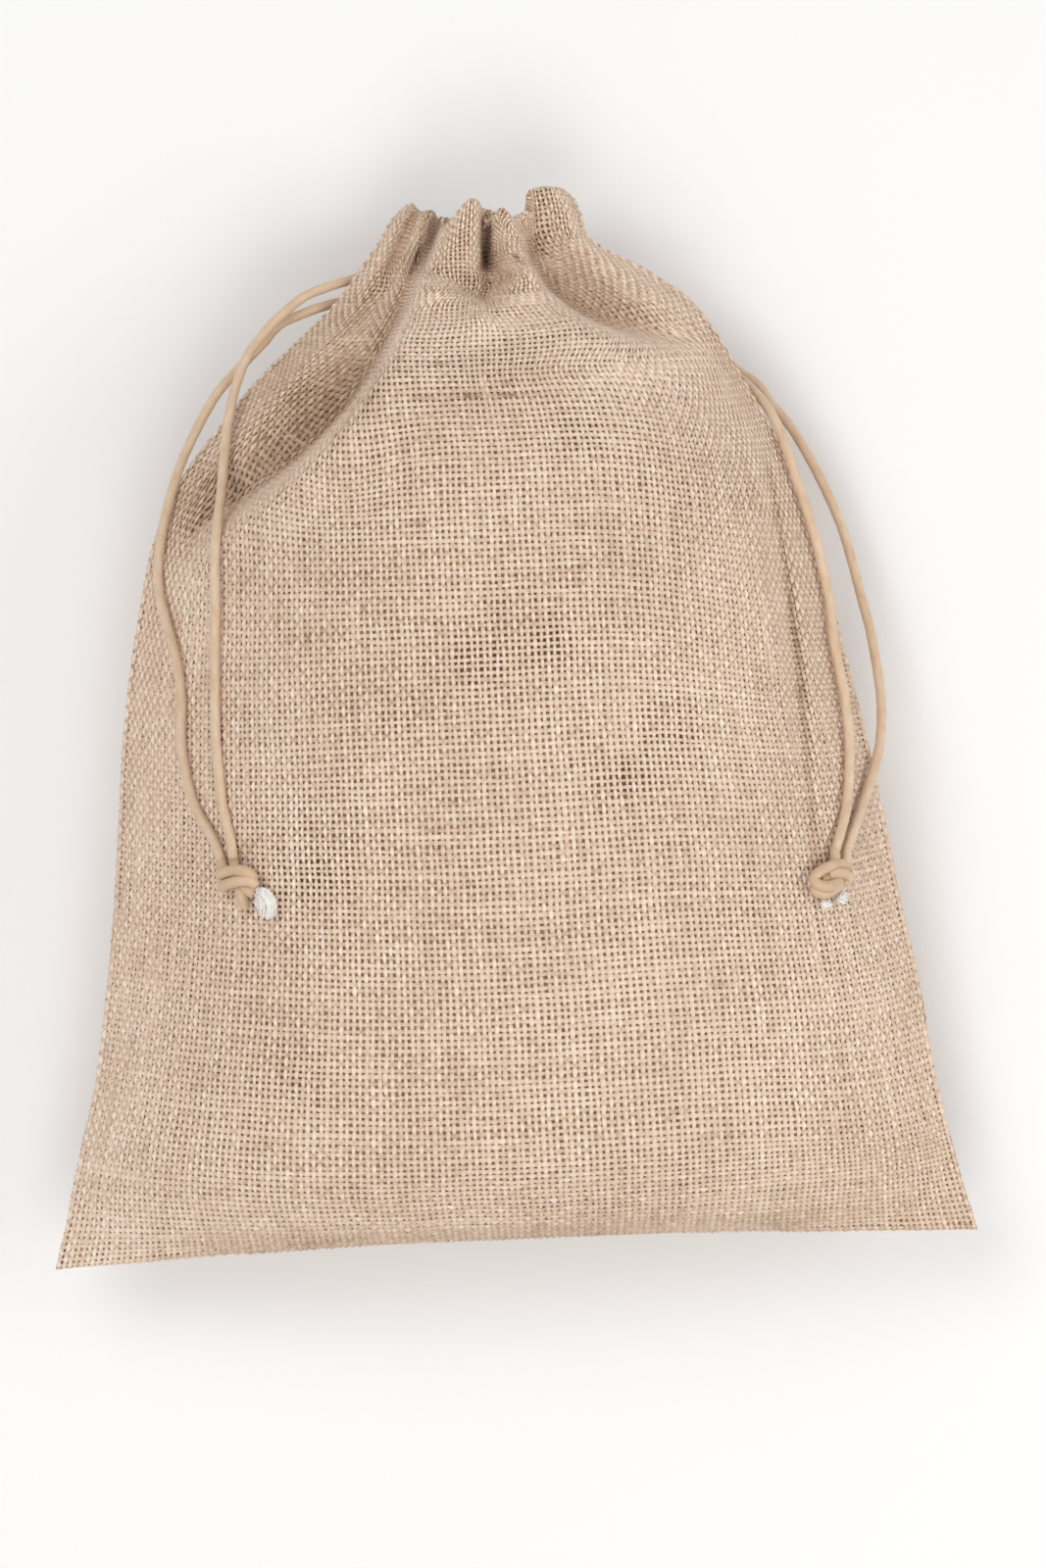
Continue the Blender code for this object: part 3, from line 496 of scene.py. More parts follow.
frontFolds = {
    "left lobe of the ruffle": (-20.7, 341, -26.7, 323.3, -38, 311.5, 5, 6, 3, 4, 6, 5, 8, 2.5),
    "left furrow": (-18, 341, -23.9, 327, -38.2, 305, -3, -4, -2, 1.8, 2.6, 1.6, 2.4, 2),
    "narrow left pleat": (-14.3, 341, -19.9, 318.8, -34, 296.4, 6, 7, 4, 2.6, 4, 2.4, 3.5, 3),
    "furrow beside the big pleat": (-9.8, 341, -13, 331, -19.5, 319.5, -6, -8, -7, 1.4, 1.8, 2.6, 3.5, 2),
    "big pleat": (-1.4, 343, -2.4, 325.5, -12.3, 314, 10, 11, 6, 5, 8, 6, 7, 3.2),
    "slit": (4.4, 342, 3.2, 325, 2, 320, -7, -10, -6, 1.3, 1.8, 1.2, 1.4, 2),
    "pocket under the slit": (2.6, 320, 4.5, 314.8, 2.5, 308.5, -6, -7, -5, 6, 5, 1.4, 1.8, 2.4),
    "middle pleat": (8.2, 341, 9.5, 325.3, 18, 317.5, 9, 10, 6, 3.4, 5, 3.6, 6, 3),
    "right lobe": (25.8, 345, 28.4, 321.1, 69.4, 296.8, 6, 7, 4, 5, 8, 4, 7, 2.5),
    "belly's edge, left": (-16, 318, -34, 264.8, -80, 240.5, 3, 6, 4, 14, 14, 2.6, 4, 2),
    "foot of the left edge": (-20.3, 319.4, -37.9, 267.9, -82, 244.5, -4, -20, -12, 2.8, 3.8, 9, 13, 2),
    "end of the left foot": (-82, 244.5, -92, 238, -101, 226, -4, -4, -2, 5, 6, 8, 8, 2),
    "belly's edge under the big pleat": (-17, 313, -8, 310.5, 0, 303.5, 2, 4, 4, 2.4, 2.4, 8, 8, 2),
    "foot of the big pleat": (-15, 317.5, -5, 314.5, 1.5, 308, -4, -5, -3, 5, 4, 2.2, 2.2, 2),
    "belly's edge under the slit": (1, 303.5, 8, 307, 16, 317, 4, 5, 4, 2.4, 2.4, 8, 8, 2),
    "belly's edge, right": (14, 320, 26, 293.5, 60, 288.5, 4, 6, 3, 3, 4, 12, 14, 2),
    "right hollow": (17.5, 323, 28.3, 297.3, 62, 292.5, -8, -15, -8, 8, 9, 2.6, 3.6, 2),
    "left shoulder": (-46, 300, -62, 284, -80, 263, 2, 3, 2, 7, 8, 7, 8, 2),
    "right side crease": (90, 256, 98.5, 205, 99.5, 122, -1, -3.5, -1, 1.8, 2, 3, 4, 2),
}
backFolds = {
    "back ruffle, first": (-16, 345, -18, 325, -30, 296, -5, -6, -3, 4, 7, 4, 7, 2),
    "back ruffle, second": (-7, 345, -8, 325, -12, 290, 3, 3, 2, 3.5, 7, 3.5, 7, 2),
    "back ruffle, third": (3, 345, 3, 325, 4, 288, -6, -6, -3, 4, 8, 4, 8, 2),
    "back ruffle, fourth": (13, 345, 14, 325, 22, 290, 3, 3, 2, 3.5, 8, 3.5, 8, 2),
    "back ruffle, fifth": (22, 345, 26, 325, 44, 296, -5, -6, -3, 4, 8, 4, 8, 2),
}
# Where cloth lies doubled out of sight, drawn as folds are, with the share of the cloth that each line takes
hiddenCloth = {
    "in the left furrow": (-18, 341, -22, 330, -29, 319, 1, 0.8, 0.2, 1.2, 1.5, 1.2, 1.5, 2),
    "in the furrow beside the big pleat": (-9.8, 341, -13, 331, -19.5, 319.5, 1, 1, 1, 1, 1.3, 1.2, 1.5, 2),
    "in the slit": (4.4, 342, 3.2, 325, 2, 320, 1.2, 1.2, 0.8, 1, 1.2, 1, 1.2, 2),
    "beside the right lobe": (18.9, 342, 17.6, 332, 17.5, 323, 1, 1, 1, 1.1, 1.4, 1.1, 1.4, 2),
    "under the belly's left edge": (-19.2, 319, -36.7, 267, -81.4, 243.4, 1, 1, 0.2, 0.9, 1.2, 0.9, 1.2, 2),
    "under the belly's right edge": (17.5, 323, 27.6, 296.6, 66, 290.6, 1, 0.7, 0, 0.9, 1.4, 0.9, 1.4, 2),
    "in the right side crease": (88, 262, 98.5, 205, 99.5, 122, 0.3, 0.25, 0.05, 1.2, 1.4, 1.2, 1.4, 2),
}
# Where the cloth is shaded beside a fold's edge, drawn as folds are, with how much darker it is
shadedLines = {
    "facet under the belly's left edge":
        (-20.5, 318, -38.2, 267.5, -82, 245, 0.08, 0.17, 0.12, 1.2, 1.8, 8, 12, 2),
    "hollow under the belly's right edge":
        (17.5, 323, 27, 297, 60, 292, 0.08, 0.13, 0.04, 8, 10, 1.2, 1.8, 2),
    "left furrow's depth": (-18, 341, -23.9, 327, -38.2, 305, 0.05, 0.10, 0.08, 1.8, 3, 1.6, 2.4, 2),
    "slit's depth": (3.9, 331, 3.2, 325, 2.6, 318, 0.30, 0.60, 0.25, 1.4, 1.6, 1.2, 1.4, 2),
    "right side crease's depth": (90, 256, 98.5, 205, 99.5, 122, 0.06, 0.26, 0.12, 1.1, 1.1, 1.3, 1.5, 2),
}
rimX = (
    -21.5, -19.1, -17.1, -15.0, -12.4, -11.0, -10.3, -8.8, -6.8, -4.5, -2.2, 0.1, 2.3, 4.2, 4.6, 5.2,
    7.5, 9.0, 11.2, 12.7, 15.8, 18.1, 18.7, 19.0, 22.1, 25.9, 30.6, 31.2, 32.0,
)
rimOut = (
    0.0, -1.1, -2.9, -2.9, -2.6, -4.2, -6.2, -6.0, -3.9, -1.4, 0.0, 0.6, -0.1, -2.1, -5.9, -4.4,
    -2.8, -3.2, -4.9, -5.3, -4.2, -3.5, -3.3, 3.4, 3.2, 2.6, 1.6, 0.6, 0.0,
)
rimFrom, rimTo = 372.0, 400.0
foldRounding = 41.0

# The weave: yarns along each face, the height of a yarn over the middle of the cloth where it passes
# over, its half thickness, and its width there and where it dips under, as shares of the pitch, also
# where the weave lies open
weave = dict(
    warps=147, wefts=182, length=400.0, sunk=0.85, over=0.44, thick=0.38, wide=0.71, narrow=0.55,
    openWide=0.62, openNarrow=0.42, widest=0.86, least=0.5, groundDepths=(0.62, 1.12), seamInset=1.0,
    hemTurns=3, hemRows=6, hemRadius=0.95, sizes=0.03, slubs=0.09, lumps=0.07, stray=0.065, seed=21,
)
# How yarns flatten where they lie close, and where their dips take more painted shade: from yarn to yarn
# (pitch) and along a yarn (spacing), and the widest pitch that a yarn's width follows
closeYarns = dict(
    crimpPitch=1.3, crimpLeast=0.35, spacingFrom=0.6, spacingOver=1.2, spacingLeast=0.05, thickPitch=1.5,
    thickLeast=0.3, shadePitch=1.8, shadeOver=0.7, warpMost=2.3, weftMost=2.4,
)
# How far the cloth lies from the sack's outside here and there, by slow and quicker changes
unevenness = dict(slow=0.45, slowCells=(14, 11), quick=0.25, quickCells=(36, 30), back=-0.5)
# The share of its depth that the cloth has where the faces meet, in the neck and on tight crests
depthRoom = dict(between=0.47, neckLess=0.3, neckFrom=300.0, neckOver=50.0, crest=0.7, crestLeast=0.2)
# Warp spacing below and in the neck, and how it crowds where cloth lies doubled and beside the seams
crowding = dict(
    spread=2.0, gathered=1.75, gatherFrom=318.0, gatherTo=352.0, anywhere=0.004, atSides=0.25,
    sidesEnd=310.0, sidesFade=60.0, sidesLeast=0.05, leftReach=0.10, rightReach=0.22, most=200.0, blur=2,
)
# How light warps and wefts are, how much that varies by yarn, along it and by crossing, how much painted
# shade darkens them where they dip, and the painted light and shade that set warps off from wefts closer than
# denseFrom
tonesAndPaintedShade = dict(
    warp=0.42, weft=0.36, byWarp=0.012, byWeft=0.014, along=0.03, byCrossing=0.045, dipShade=0.14, denseDipShade=0.22,
    denseFrom=2.0, denseOver=0.6, denseWarpLight=0.06, denseWeftShade=0.13,
)
# Where the rows of weft sag (less than 0) or rise: middle, reach across, reach along, and how far
drifts = (
    (112, 232, 52, 62, -22), (118, 130, 48, 62, -10), (130, 45, 45, 40, -7), (72, 285, 26, 26, -8),
    (-98, 205, 48, 62, -8), (-48, 262, 22, 22, -7), (-78, 284, 20, 24, 9),
)
driftEnds = 45.0
# Where the middle warp runs: distances from the bottom fold, and its x there
middleWarp = (0.0, 280.0, 320.0, 350.0, 400.0), (0.0, -3.0, -6.0, -3.5, -2.0)
# Painted shade (darker) and painted light (lighter, less than 0) here and there on the cloth, and a thin
# darker
# line across it along the hem: middle, reach across and along, and how much
paintedShadeLightAndHemLine = (
    (-62, 268, 22, 20, 0.09), (-42, 292, 14, 22, 0.05), (-88, 246, 14, 14, 0.05), (52, 302, 22, 10, 0.03),
    (10, 322, 14, 9, 0.04), (22, 2, 74, 10, 0.14), (-60, 3, 26, 8, 0.15), (115, 6, 30, 8, 0.06),
    (-128, 10, 24, 14, -0.09), (-6, 298, 44, 15, -0.06), (42, 284, 22, 12, -0.05),
    (-7, 273.8, 26, 1.0, 0.06), (-3.2, 273.6, 2.4, 0.9, 0.30), (8.6, 274.2, 2.8, 0.9, 0.24),
    (-20, 274, 2.4, 0.9, 0.16), (7.3, 315.4, 4.5, 5.0, 0.12), (101, 196, 22, 60, 0.05),
)
# Thin places where the weave lies open and what is behind shows darker, and a close one (less than 0):
# middle, reach, and how open
thinPlaces = (
    (-5, 190, 9, 0.6), (20, 196, 7, 0.8), (-28, 174, 8, 0.5), (40, 152, 8, 0.8), (56, 165, 9, 0.7),
    (-58, 124, 8, 0.8), (8, 196, 20, 0.4), (-62, 130, 24, 0.5), (30, 262, 8, 0.6), (-104, 128, 14, 0.5),
    (110, 96, 12, 0.5), (-66, 62, 12, 0.5), (3.0, 324, 3, 1.0), (46.5, 287, 8, -0.9),
)
# How open the weave lies over the neck and on facets steeper than steepFrom
openPlaces = dict(
    neck=0.6, neckFrom=300.0, neckOver=15.0, steepFrom=0.90, steepOver=0.22, facetsFrom=225.0,
    facetsOver=25.0, facetsTo=322.0, facetsEnd=10.0, most=1.3, least=-0.9,
)
# Small darker slubs here and there in the yarns: where, their size, how much darker, and how many each way
flecks = dict(x=(-125, 125), y=(8, 320), long=1.9, wide=0.6, darker=(0.10, 0.22), pairs=30)
clothRandom = np.random.default_rng(weave["seed"])


# A smooth line through values given at uneven places
def steady(at, places, values):
    slopes = np.gradient(values, places)
    i = np.clip(np.searchsorted(places, at) - 1, 0, len(places) - 2)
    span = places[i + 1] - places[i]
    t = (at - places[i]) / span
    start = (1 + 2 * t) * (1 - t) ** 2 * values[i] + t * (1 - t) ** 2 * span * slopes[i]
    return start + t**2 * (3 - 2 * t) * values[i + 1] - t**2 * (1 - t) * span * slopes[i + 1]


def foldLift(folds, x, y, steps=12):
    t = np.linspace(0.0, 1.0, steps + 1)
    shape, x, y = x.shape, x.ravel(), y.ravel()
    lift = np.zeros_like(x)
    for values in folds.values():
        f = dict(zip(foldColumns, values))
        lineX = (1 - t) ** 2 * f["x1"] + 2 * t * (1 - t) * f["x2"] + t**2 * f["x3"]
        lineY = (1 - t) ** 2 * f["y1"] + 2 * t * (1 - t) * f["y2"] + t**2 * f["y3"]
        reach = 3.2 * max(f["left1"], f["left3"], f["right1"], f["right3"])
        nearX = (x > lineX.min() - reach) & (x < lineX.max() + reach)
        nearY = (y > lineY.min() - reach) & (y < lineY.max() + reach)
        near = np.flatnonzero(nearX & nearY)
        runX, runY = np.diff(lineX), np.diff(lineY)
        fromX, fromY = x[near, None] - lineX[:-1], y[near, None] - lineY[:-1]
        part = np.clip((fromX * runX + fromY * runY) / (runX**2 + runY**2), 0.0, 1.0)
        away = np.hypot(fromX - part * runX, fromY - part * runY)
        nearest = away.argmin(axis=1)
        pick = np.arange(len(near)), nearest
        at = (nearest + part[pick]) / steps
        onLeft = (runX * fromY - runY * fromX)[pick] > 0
        left = f["left1"] + (f["left3"] - f["left1"]) * at
        right = f["right1"] + (f["right3"] - f["right1"]) * at
        rise = np.interp(at, (0, 0.5, 1), (f["rise1"], f["rise2"], f["rise3"]))
        lift[near] += rise * np.exp(-((away[pick] / np.where(onLeft, left, right)) ** f["blunt"]))
    return lift.reshape(shape)


# A face's rows, closely spaced from seam to seam, and how far its folds lift them
def rowPoints(face, at, across=481, seamShare=0.12):
    table = np.array(sackRows, float)
    row = {name: steady(at, table[:, 0], table[:, k])[:, None] for k, name in enumerate(rowColumns)}
    s = np.linspace(-1.0, 1.0, across)[None]
    x = (row["left_x"] + row["right_x"]) / 2 + (row["right_x"] - row["left_x"]) / 2 * s
    middle = row["front_y"] if face == "front" else row["back_y"]
    y = middle + (np.where(s < 0, row["left_y"], row["right_y"]) - middle) * s**2
    swell = np.where(s < 0, row["swell_left"], row["swell_right"])
    atSeam = np.clip((1 - np.abs(s)) / seamShare, 0.0, 1.0)
    if face == "front":
        ruffled = np.clip((at - rimFrom) / (rimTo - rimFrom), 0.0, 1.0)[:, None]
        y = y + ruffled * np.interp(x, rimX, rimOut)
        z = row["seam_z"] + (row["crown"] - row["seam_z"]) * (1 - np.abs(s) ** swell)
        lift = atSeam * foldLift(frontFolds, x, y)
        return np.stack([x, y, z + lift], -1), foldLift(hiddenCloth, x, y)
    bent = np.clip((np.abs(s) - row["rest"]) / (1 - row["rest"]), 0.0, 1.0)
    pastFold = np.minimum(at / foldRounding, 1.0)[:, None]
    profile = pastFold * np.sqrt(1 - bent**2) + (1 - pastFold) * (1 - np.abs(s) ** row["swell_left"])
    z = row["seam_z"] - (row["seam_z"] - row["back_z"]) * profile
    lift = atSeam * foldLift(backFolds, x, y)
    return np.stack([x, y, np.maximum(z + lift, 0.0)], -1), np.clip(-lift / 6.0, 0.0, 1.0) ** 2


# The field with each place averaged over rows near it, three times over
def blurredRows(field, reach):
    for _ in range(3):
        above = np.concatenate([field[:1].repeat(reach, axis=0), field, field[-1:].repeat(reach, axis=0)])
        total = np.cumsum(np.concatenate([0 * above[:1], above]), axis=0)
        field = (total[2 * reach + 1:] - total[:-2 * reach - 1]) / (2 * reach + 1)
    return field


# The rows read again at even counts of warp yarns, many of them where cloth lies doubled out of sight
def gatherRows(points, doubled, at):
    count = weave["warps"]
    steps = np.linalg.norm(np.diff(points, axis=1), axis=2)
    c = crowding
    gathered = np.clip((at - c["gatherFrom"]) / (c["gatherTo"] - c["gatherFrom"]), 0.0, 1.0)
    gathered = gathered**2 * (3 - 2 * gathered)
    pitch = c["spread"] + (c["gathered"] - c["spread"]) * gathered
    across = np.linspace(-1.0, 1.0, points.shape[1])
    atSides = c["atSides"] * np.clip((c["sidesEnd"] - at) / c["sidesFade"], c["sidesLeast"], 1.0)[:, None]
    reach = np.where(across < 0, c["leftReach"], c["rightReach"])
    hidden = doubled + atSides * np.exp(-(((1 - np.abs(across)) / reach) ** 2)) + c["anywhere"]
    hidden = (hidden[:, 1:] + hidden[:, :-1]) / 2
    onRight = (points[:, 1:, 0] + points[:, :-1, 0]) / 2 > np.interp(at, *middleWarp)[:, None]
    weight = 0.0
    for half in (~onRight, onRight):
        here = steps * half
        excess = count / 2 * pitch - here.sum(axis=1)
        crowd = np.clip(excess / (here * hidden).sum(axis=1), 0.0, c["most"])[:, None]
        yarns = here * (1 + crowd * hidden)
        weight = weight + yarns * count / 2 / yarns.sum(axis=1, keepdims=True)
    weight = np.cumsum(weight, axis=1)
    weight = np.concatenate([np.zeros((len(at), 1)), weight], axis=1)
    weight = blurredRows(weight * count / weight[:, -1:], c["blur"])
    wanted = np.linspace(0, count, 2 * count + 1)
    return np.stack([
        np.stack([np.interp(wanted, w, row[:, k]) for k in range(3)], -1) for w, row in zip(weight, points)
    ])


# The sum of soft round or oval patches at each place
def nearSum(places, x, y):
    total = 0.0
    for place in places:
        reachX, reachY = place[2], place[-2]
        total = total + place[-1] * np.exp(-(((x - place[0]) / reachX) ** 2) - ((y - place[1]) / reachY) ** 2)
    return total


# The rows read again a little nearer to the bottom or the mouth, where the cloth lies dragged
def driftRows(grid, at):
    held = np.clip(np.minimum(at, at[-1] - at) / driftEnds, 0.0, 1.0)[:, None]
    wanted = at[:, None] + held * nearSum(drifts, grid[..., 0], grid[..., 1])
    wanted = np.clip(wanted / (at[1] - at[0]), 0.0, len(at) - 1.0)
    row = np.minimum(wanted.astype(int), len(at) - 2)
    part = (wanted - row)[..., None]
    column = np.arange(grid.shape[1])[None]
    return grid[row, column] * (1 - part) + grid[row + 1, column] * part


# Soft random unevenness over a face, between about -1 and 1
def smoothField(rows, columns, cells):
    rough = clothRandom.normal(0, 0.5, (cells[0] + 2, cells[1] + 2))
    r, c = np.linspace(0, cells[0], rows), np.linspace(0, cells[1], columns)
    i, j = np.minimum(r.astype(int), cells[0] - 1), np.minimum(c.astype(int), cells[1] - 1)
    u, v = r - i, c - j
    u, v = (u * u * (3 - 2 * u))[:, None], (v * v * (3 - 2 * v))[None]
    near = rough[i][:, j] * (1 - v) + rough[i][:, j + 1] * v
    far = rough[i + 1][:, j] * (1 - v) + rough[i + 1][:, j + 1] * v
    return near * (1 - u) + far * u


# The field with its sharp changes spread over a few steps, and its border kept
def softened(field, passes):
    for _ in range(passes):
        for axis in (0, 1):
            before = 2 * field.take([0], axis) - field.take([1], axis)
            after = 2 * field.take([-1], axis) - field.take([-2], axis)
            padded = np.concatenate([before, field, after], axis)
            at = np.arange(field.shape[axis])
            field = sum(padded.take(at + k, axis) * share for k, share in enumerate((0.25, 0.5, 0.25)))
    return field


# Unit normals of a grid of places, softened where folds are sharp
def outwardOf(grid, outward, passes=0):
    normal = np.cross(np.gradient(grid, axis=1), np.gradient(grid, axis=0))
    return outward * unit(softened(unit(normal), passes))


# The middle of the woven cloth of a face: within the sack's outside by half the cloth, less where it is thin
def faceSurface(face, grid, room, seamColumns=20.0):
    outward = outwardSign(face)
    grid = softened(grid, 3)
    normal = outwardOf(grid, outward, 4)
    u, size = unevenness, grid.shape[:2]
    uneven = u["slow"] * smoothField(*size, u["slowCells"]) + u["quick"] * smoothField(*size, u["quickCells"])
    if face == "back":
        uneven = np.abs(uneven) * u["back"]
    column = np.arange(grid.shape[1])
    edge = np.clip(np.minimum(column, column[::-1]) / seamColumns, 0, 1)[None]
    grid = grid + normal * (uneven * edge - weave["sunk"] * room)[..., None]
    return grid, outwardOf(grid, outward, 2)


# The mouth's edge turned in: more rows that go round the edge and back down the inside
def addHem(grid, facing):
    onward = unit(grid[-1] - grid[-3])
    rows, r = [grid[1::2]], weave["hemRadius"]
    for k in range(1, weave["hemTurns"] + 1):
        turn = math.pi * k / weave["hemTurns"]
        rows.append((grid[-1] + onward * r * math.sin(turn) - facing[-1] * r * (1 - math.cos(turn)))[None])
    inner = grid - facing * 2 * r
    rows.append(inner[-2:-2 - 2 * weave["hemRows"]:-2])
    return np.concatenate(rows)


# Slow changes along each yarn, such as in its thickness or colour
def yarnSlub(yarns, rings, step, amount):
    knots = rings // step + 3
    rough = clothRandom.normal(0, amount, (yarns, knots))
    at = np.arange(rings)[None] / step + clothRandom.uniform(0, 1, (yarns, 1))
    i = at.astype(int)
    t = at - i
    t = t * t * (3 - 2 * t)
    pick = np.arange(yarns)[:, None]
    return rough[pick, i] * (1 - t) + rough[pick, i + 1] * t


# Yarns as rounded strips. centre and normal are by yarn and crossing, and over is 1 where a yarn is on top
def yarnPiece(name, centre, normal, over, pitch, spacing, openness, tone, material):
    c = closeYarns
    yarns, rings = centre.shape[:2]
    run = unit(np.gradient(centre, axis=1))
    across = unit(np.cross(run, normal))
    slub = yarnSlub(yarns, rings, 9, weave["slubs"]) + clothRandom.normal(0, weave["sizes"], (yarns, 1))
    slub = np.exp(slub) * np.exp(clothRandom.normal(0, weave["lumps"], (yarns, rings)))
    narrow = weave["narrow"] + (weave["openNarrow"] - weave["narrow"]) * openness
    widest = weave["wide"] + (weave["openWide"] - weave["wide"]) * openness
    wide = pitch * (narrow + (widest - narrow) * over) * slub
    wide = np.maximum(np.minimum(wide, weave["widest"] * pitch), weave["least"])
    crimp = np.clip(pitch / c["crimpPitch"], c["crimpLeast"], 1.0)
    crimp = crimp * np.clip((spacing - c["spacingFrom"]) / c["spacingOver"], c["spacingLeast"], 1.0)
    height = weave["over"] * (2 * over - 1) * crimp
    thick = weave["thick"] * np.clip(pitch / c["thickPitch"], c["thickLeast"], 1.0) * np.sqrt(slub)
    stray = yarnSlub(yarns, rings, 4, weave["stray"]) * pitch
    middle = centre + normal * height[..., None] + across * stray[..., None]
    # Painted shade: a yarn is darker where it dips under the crossing yarn, more so where yarns lie close
    close = np.clip((c["shadePitch"] - pitch) / c["shadeOver"], 0.0, 1.0)
    tone = tone - (tonesAndPaintedShade["dipShade"] + tonesAndPaintedShade["denseDipShade"] * close) * (1 - over)
    profile = ((-0.5, -0.85), (-0.26, 0.9), (0.26, 0.9), (0.5, -0.85))
    points = np.stack([
        middle + across * (side * wide)[..., None] + normal * (rise * thick)[..., None]
        for side, rise in profile
    ], axis=2)
    along = np.cumsum(np.linalg.norm(np.diff(centre, axis=1, prepend=centre[:, :1]), axis=2), axis=1)
    return stripMesh(name, points, along, tone[..., None], False, material)


# Jute: how strongly fibres and blotches show, and its colours from brown to blond
jute = dict(
    fibreNoise=(5.0, 0.55, 3.0, 0.35), fibres=0.62, blotches=0.22, blotchScale=26.0, relief=0.00012,
    roughness=0.82, sheen=0.22, sheenTint=(0.93, 0.86, 0.90),
    colours=[
        (0.36, (0.33, 0.20, 0.115)), (0.60, (0.62, 0.45, 0.32)), (0.80, (0.82, 0.645, 0.50)),
        (1.0, (0.95, 0.83, 0.70)),
    ],
)


# Blond and brown fibres laid along each yarn with a slight twist
def yarnMaterial():
    material, nodes, links, shader = newMaterial("juteYarn", jute["roughness"])
    fibres, _ = strandNoise(nodes, *jute["fibreNoise"])
    tone = addNode(nodes, "Attribute", attribute_name="tone")
    shade = arithmetic(nodes, links, "MULTIPLY_ADD", fibres, jute["fibres"], tone.outputs["Fac"])
    place = addNode(nodes, "TexCoord")
    blotch = addNode(nodes, "TexNoise", Scale=jute["blotchScale"], Detail=2.0)
    links.new(place.outputs["Object"], blotch.inputs["Vector"])
    shade = arithmetic(nodes, links, "MULTIPLY_ADD", blotch.outputs[0], jute["blotches"], shade)
    addColours(nodes, links, shader, shade, jute["colours"])
    addBump(nodes, links, shader, fibres, jute["relief"])
    addSheen(shader, jute["sheen"], jute["sheenTint"])
    return material


# What shows between the yarns and inside the mouth: the weave's far side as brown fibre in painted shade,
# with more painted shade where it is open
behind = dict(
    speckle=240.0, openShade=-0.45, relief=0.0003, roughness=0.95, step=3,
    colours=[(0.0, (0.10, 0.055, 0.032)), (0.35, (0.24, 0.145, 0.09)), (0.7, (0.47, 0.33, 0.22))],
)


def groundMaterial():
    material, nodes, links, shader = newMaterial("paintedShadeGround", behind["roughness"])
    place = addNode(nodes, "TexCoord")
    noise = addNode(nodes, "TexNoise", Scale=behind["speckle"], Detail=3.0)
    links.new(place.outputs["Object"], noise.inputs["Vector"])
    tone = addNode(nodes, "Attribute", attribute_name="tone")
    openShade = behind["openShade"]
    shade = arithmetic(nodes, links, "MULTIPLY_ADD", tone.outputs["Fac"], openShade, noise.outputs[0])
    addColours(nodes, links, shader, shade, behind["colours"])
    addBump(nodes, links, shader, noise.outputs[0], behind["relief"])
    return material


juteYarn = yarnMaterial()
paintedShadeGround = groundMaterial()


# How far the cloth's inside lies within the sack's outside
clothDepth = weave["sunk"] + weave["groundDepths"][1]


# The share of its full depth that the woven cloth can have on a crest that bends tightly
def crestRoom(grid, outward):
    step, turn = np.gradient(grid, axis=1), np.gradient(outwardOf(grid, outward, 2), axis=1)
    bend = (step * turn).sum(-1) / np.maximum((step**2).sum(-1), 1e-6)
    room = depthRoom["crest"] / (np.maximum(bend, 1e-3) * clothDepth)
    room = np.clip(room, depthRoom["crestLeast"], 1.0)
    for k in (1, 2, 3):
        room = np.minimum(room, np.minimum(np.roll(room, k, 1), np.roll(room, -k, 1)))
    return softened(room, 2)


def outwardSign(face):
    return 1.0 if face == "front" else -1.0


# The middle of each face's cloth, closely spaced, and the share of its depth that fits between the faces
def findSurfaces():
    at = np.linspace(0.0, weave["length"], 2 * weave["wefts"] + 1)
    outside = {face: driftRows(gatherRows(*rowPoints(face, at), at), at) for face in ("front", "back")}
    apart = np.linalg.norm(outside["front"] - outside["back"], axis=2)
    room = np.clip(depthRoom["between"] * apart / clothDepth, 0.0, 1.0)
    inNeck = np.clip((at - depthRoom["neckFrom"]) / depthRoom["neckOver"], 0.0, 1.0)[:, None]
    room = room * (1 - depthRoom["neckLess"] * inNeck)
    rooms = {face: room * crestRoom(grid, outwardSign(face)) for face, grid in outside.items()}
    return {face: faceSurface(face, grid, rooms[face]) for face, grid in outside.items()}, rooms


surfaces, clothRoom = findSurfaces()
print("cloth surface found")


# Places and outward normals where the yarns cross: the bottom fold's row first and the hem's rows last
def crossings(face):
    fold = (surfaces["front"][0][:1] + surfaces["back"][0][:1]) / 2
    grid = np.concatenate([fold, addHem(*surfaces[face])])
    return grid, outwardOf(grid, outwardSign(face))


def strayFlecks():
    f = flecks
    return tuple(
        (clothRandom.uniform(*f["x"]), clothRandom.uniform(*f["y"]), *size, clothRandom.uniform(*f["darker"]))
        for size in [(f["long"], f["wide"]), (f["wide"], f["long"])] * f["pairs"]
    )


# How open the weave lies, 0 to 1: over the neck, on steep facets, and in the thin places of the front
def opennessAt(face, places, facing):
    o = openPlaces
    x, y = places[..., 0], places[..., 1]
    steep = np.clip((o["steepFrom"] - np.abs(facing[..., 2])) / o["steepOver"], 0.0, 1.0)
    steep = steep * np.clip((y - o["facetsFrom"]) / o["facetsOver"], 0.0, 1.0)
    steep = steep * np.clip((o["facetsTo"] - y) / o["facetsEnd"], o["neck"], 1.0)
    neck = o["neck"] * np.clip((y - o["neckFrom"]) / o["neckOver"], 0.0, 1.0)
    thin = nearSum(thinPlaces, x, y) if face == "front" else 0.0
    return np.clip(np.maximum(steep, neck) + thin, o["least"], o["most"])


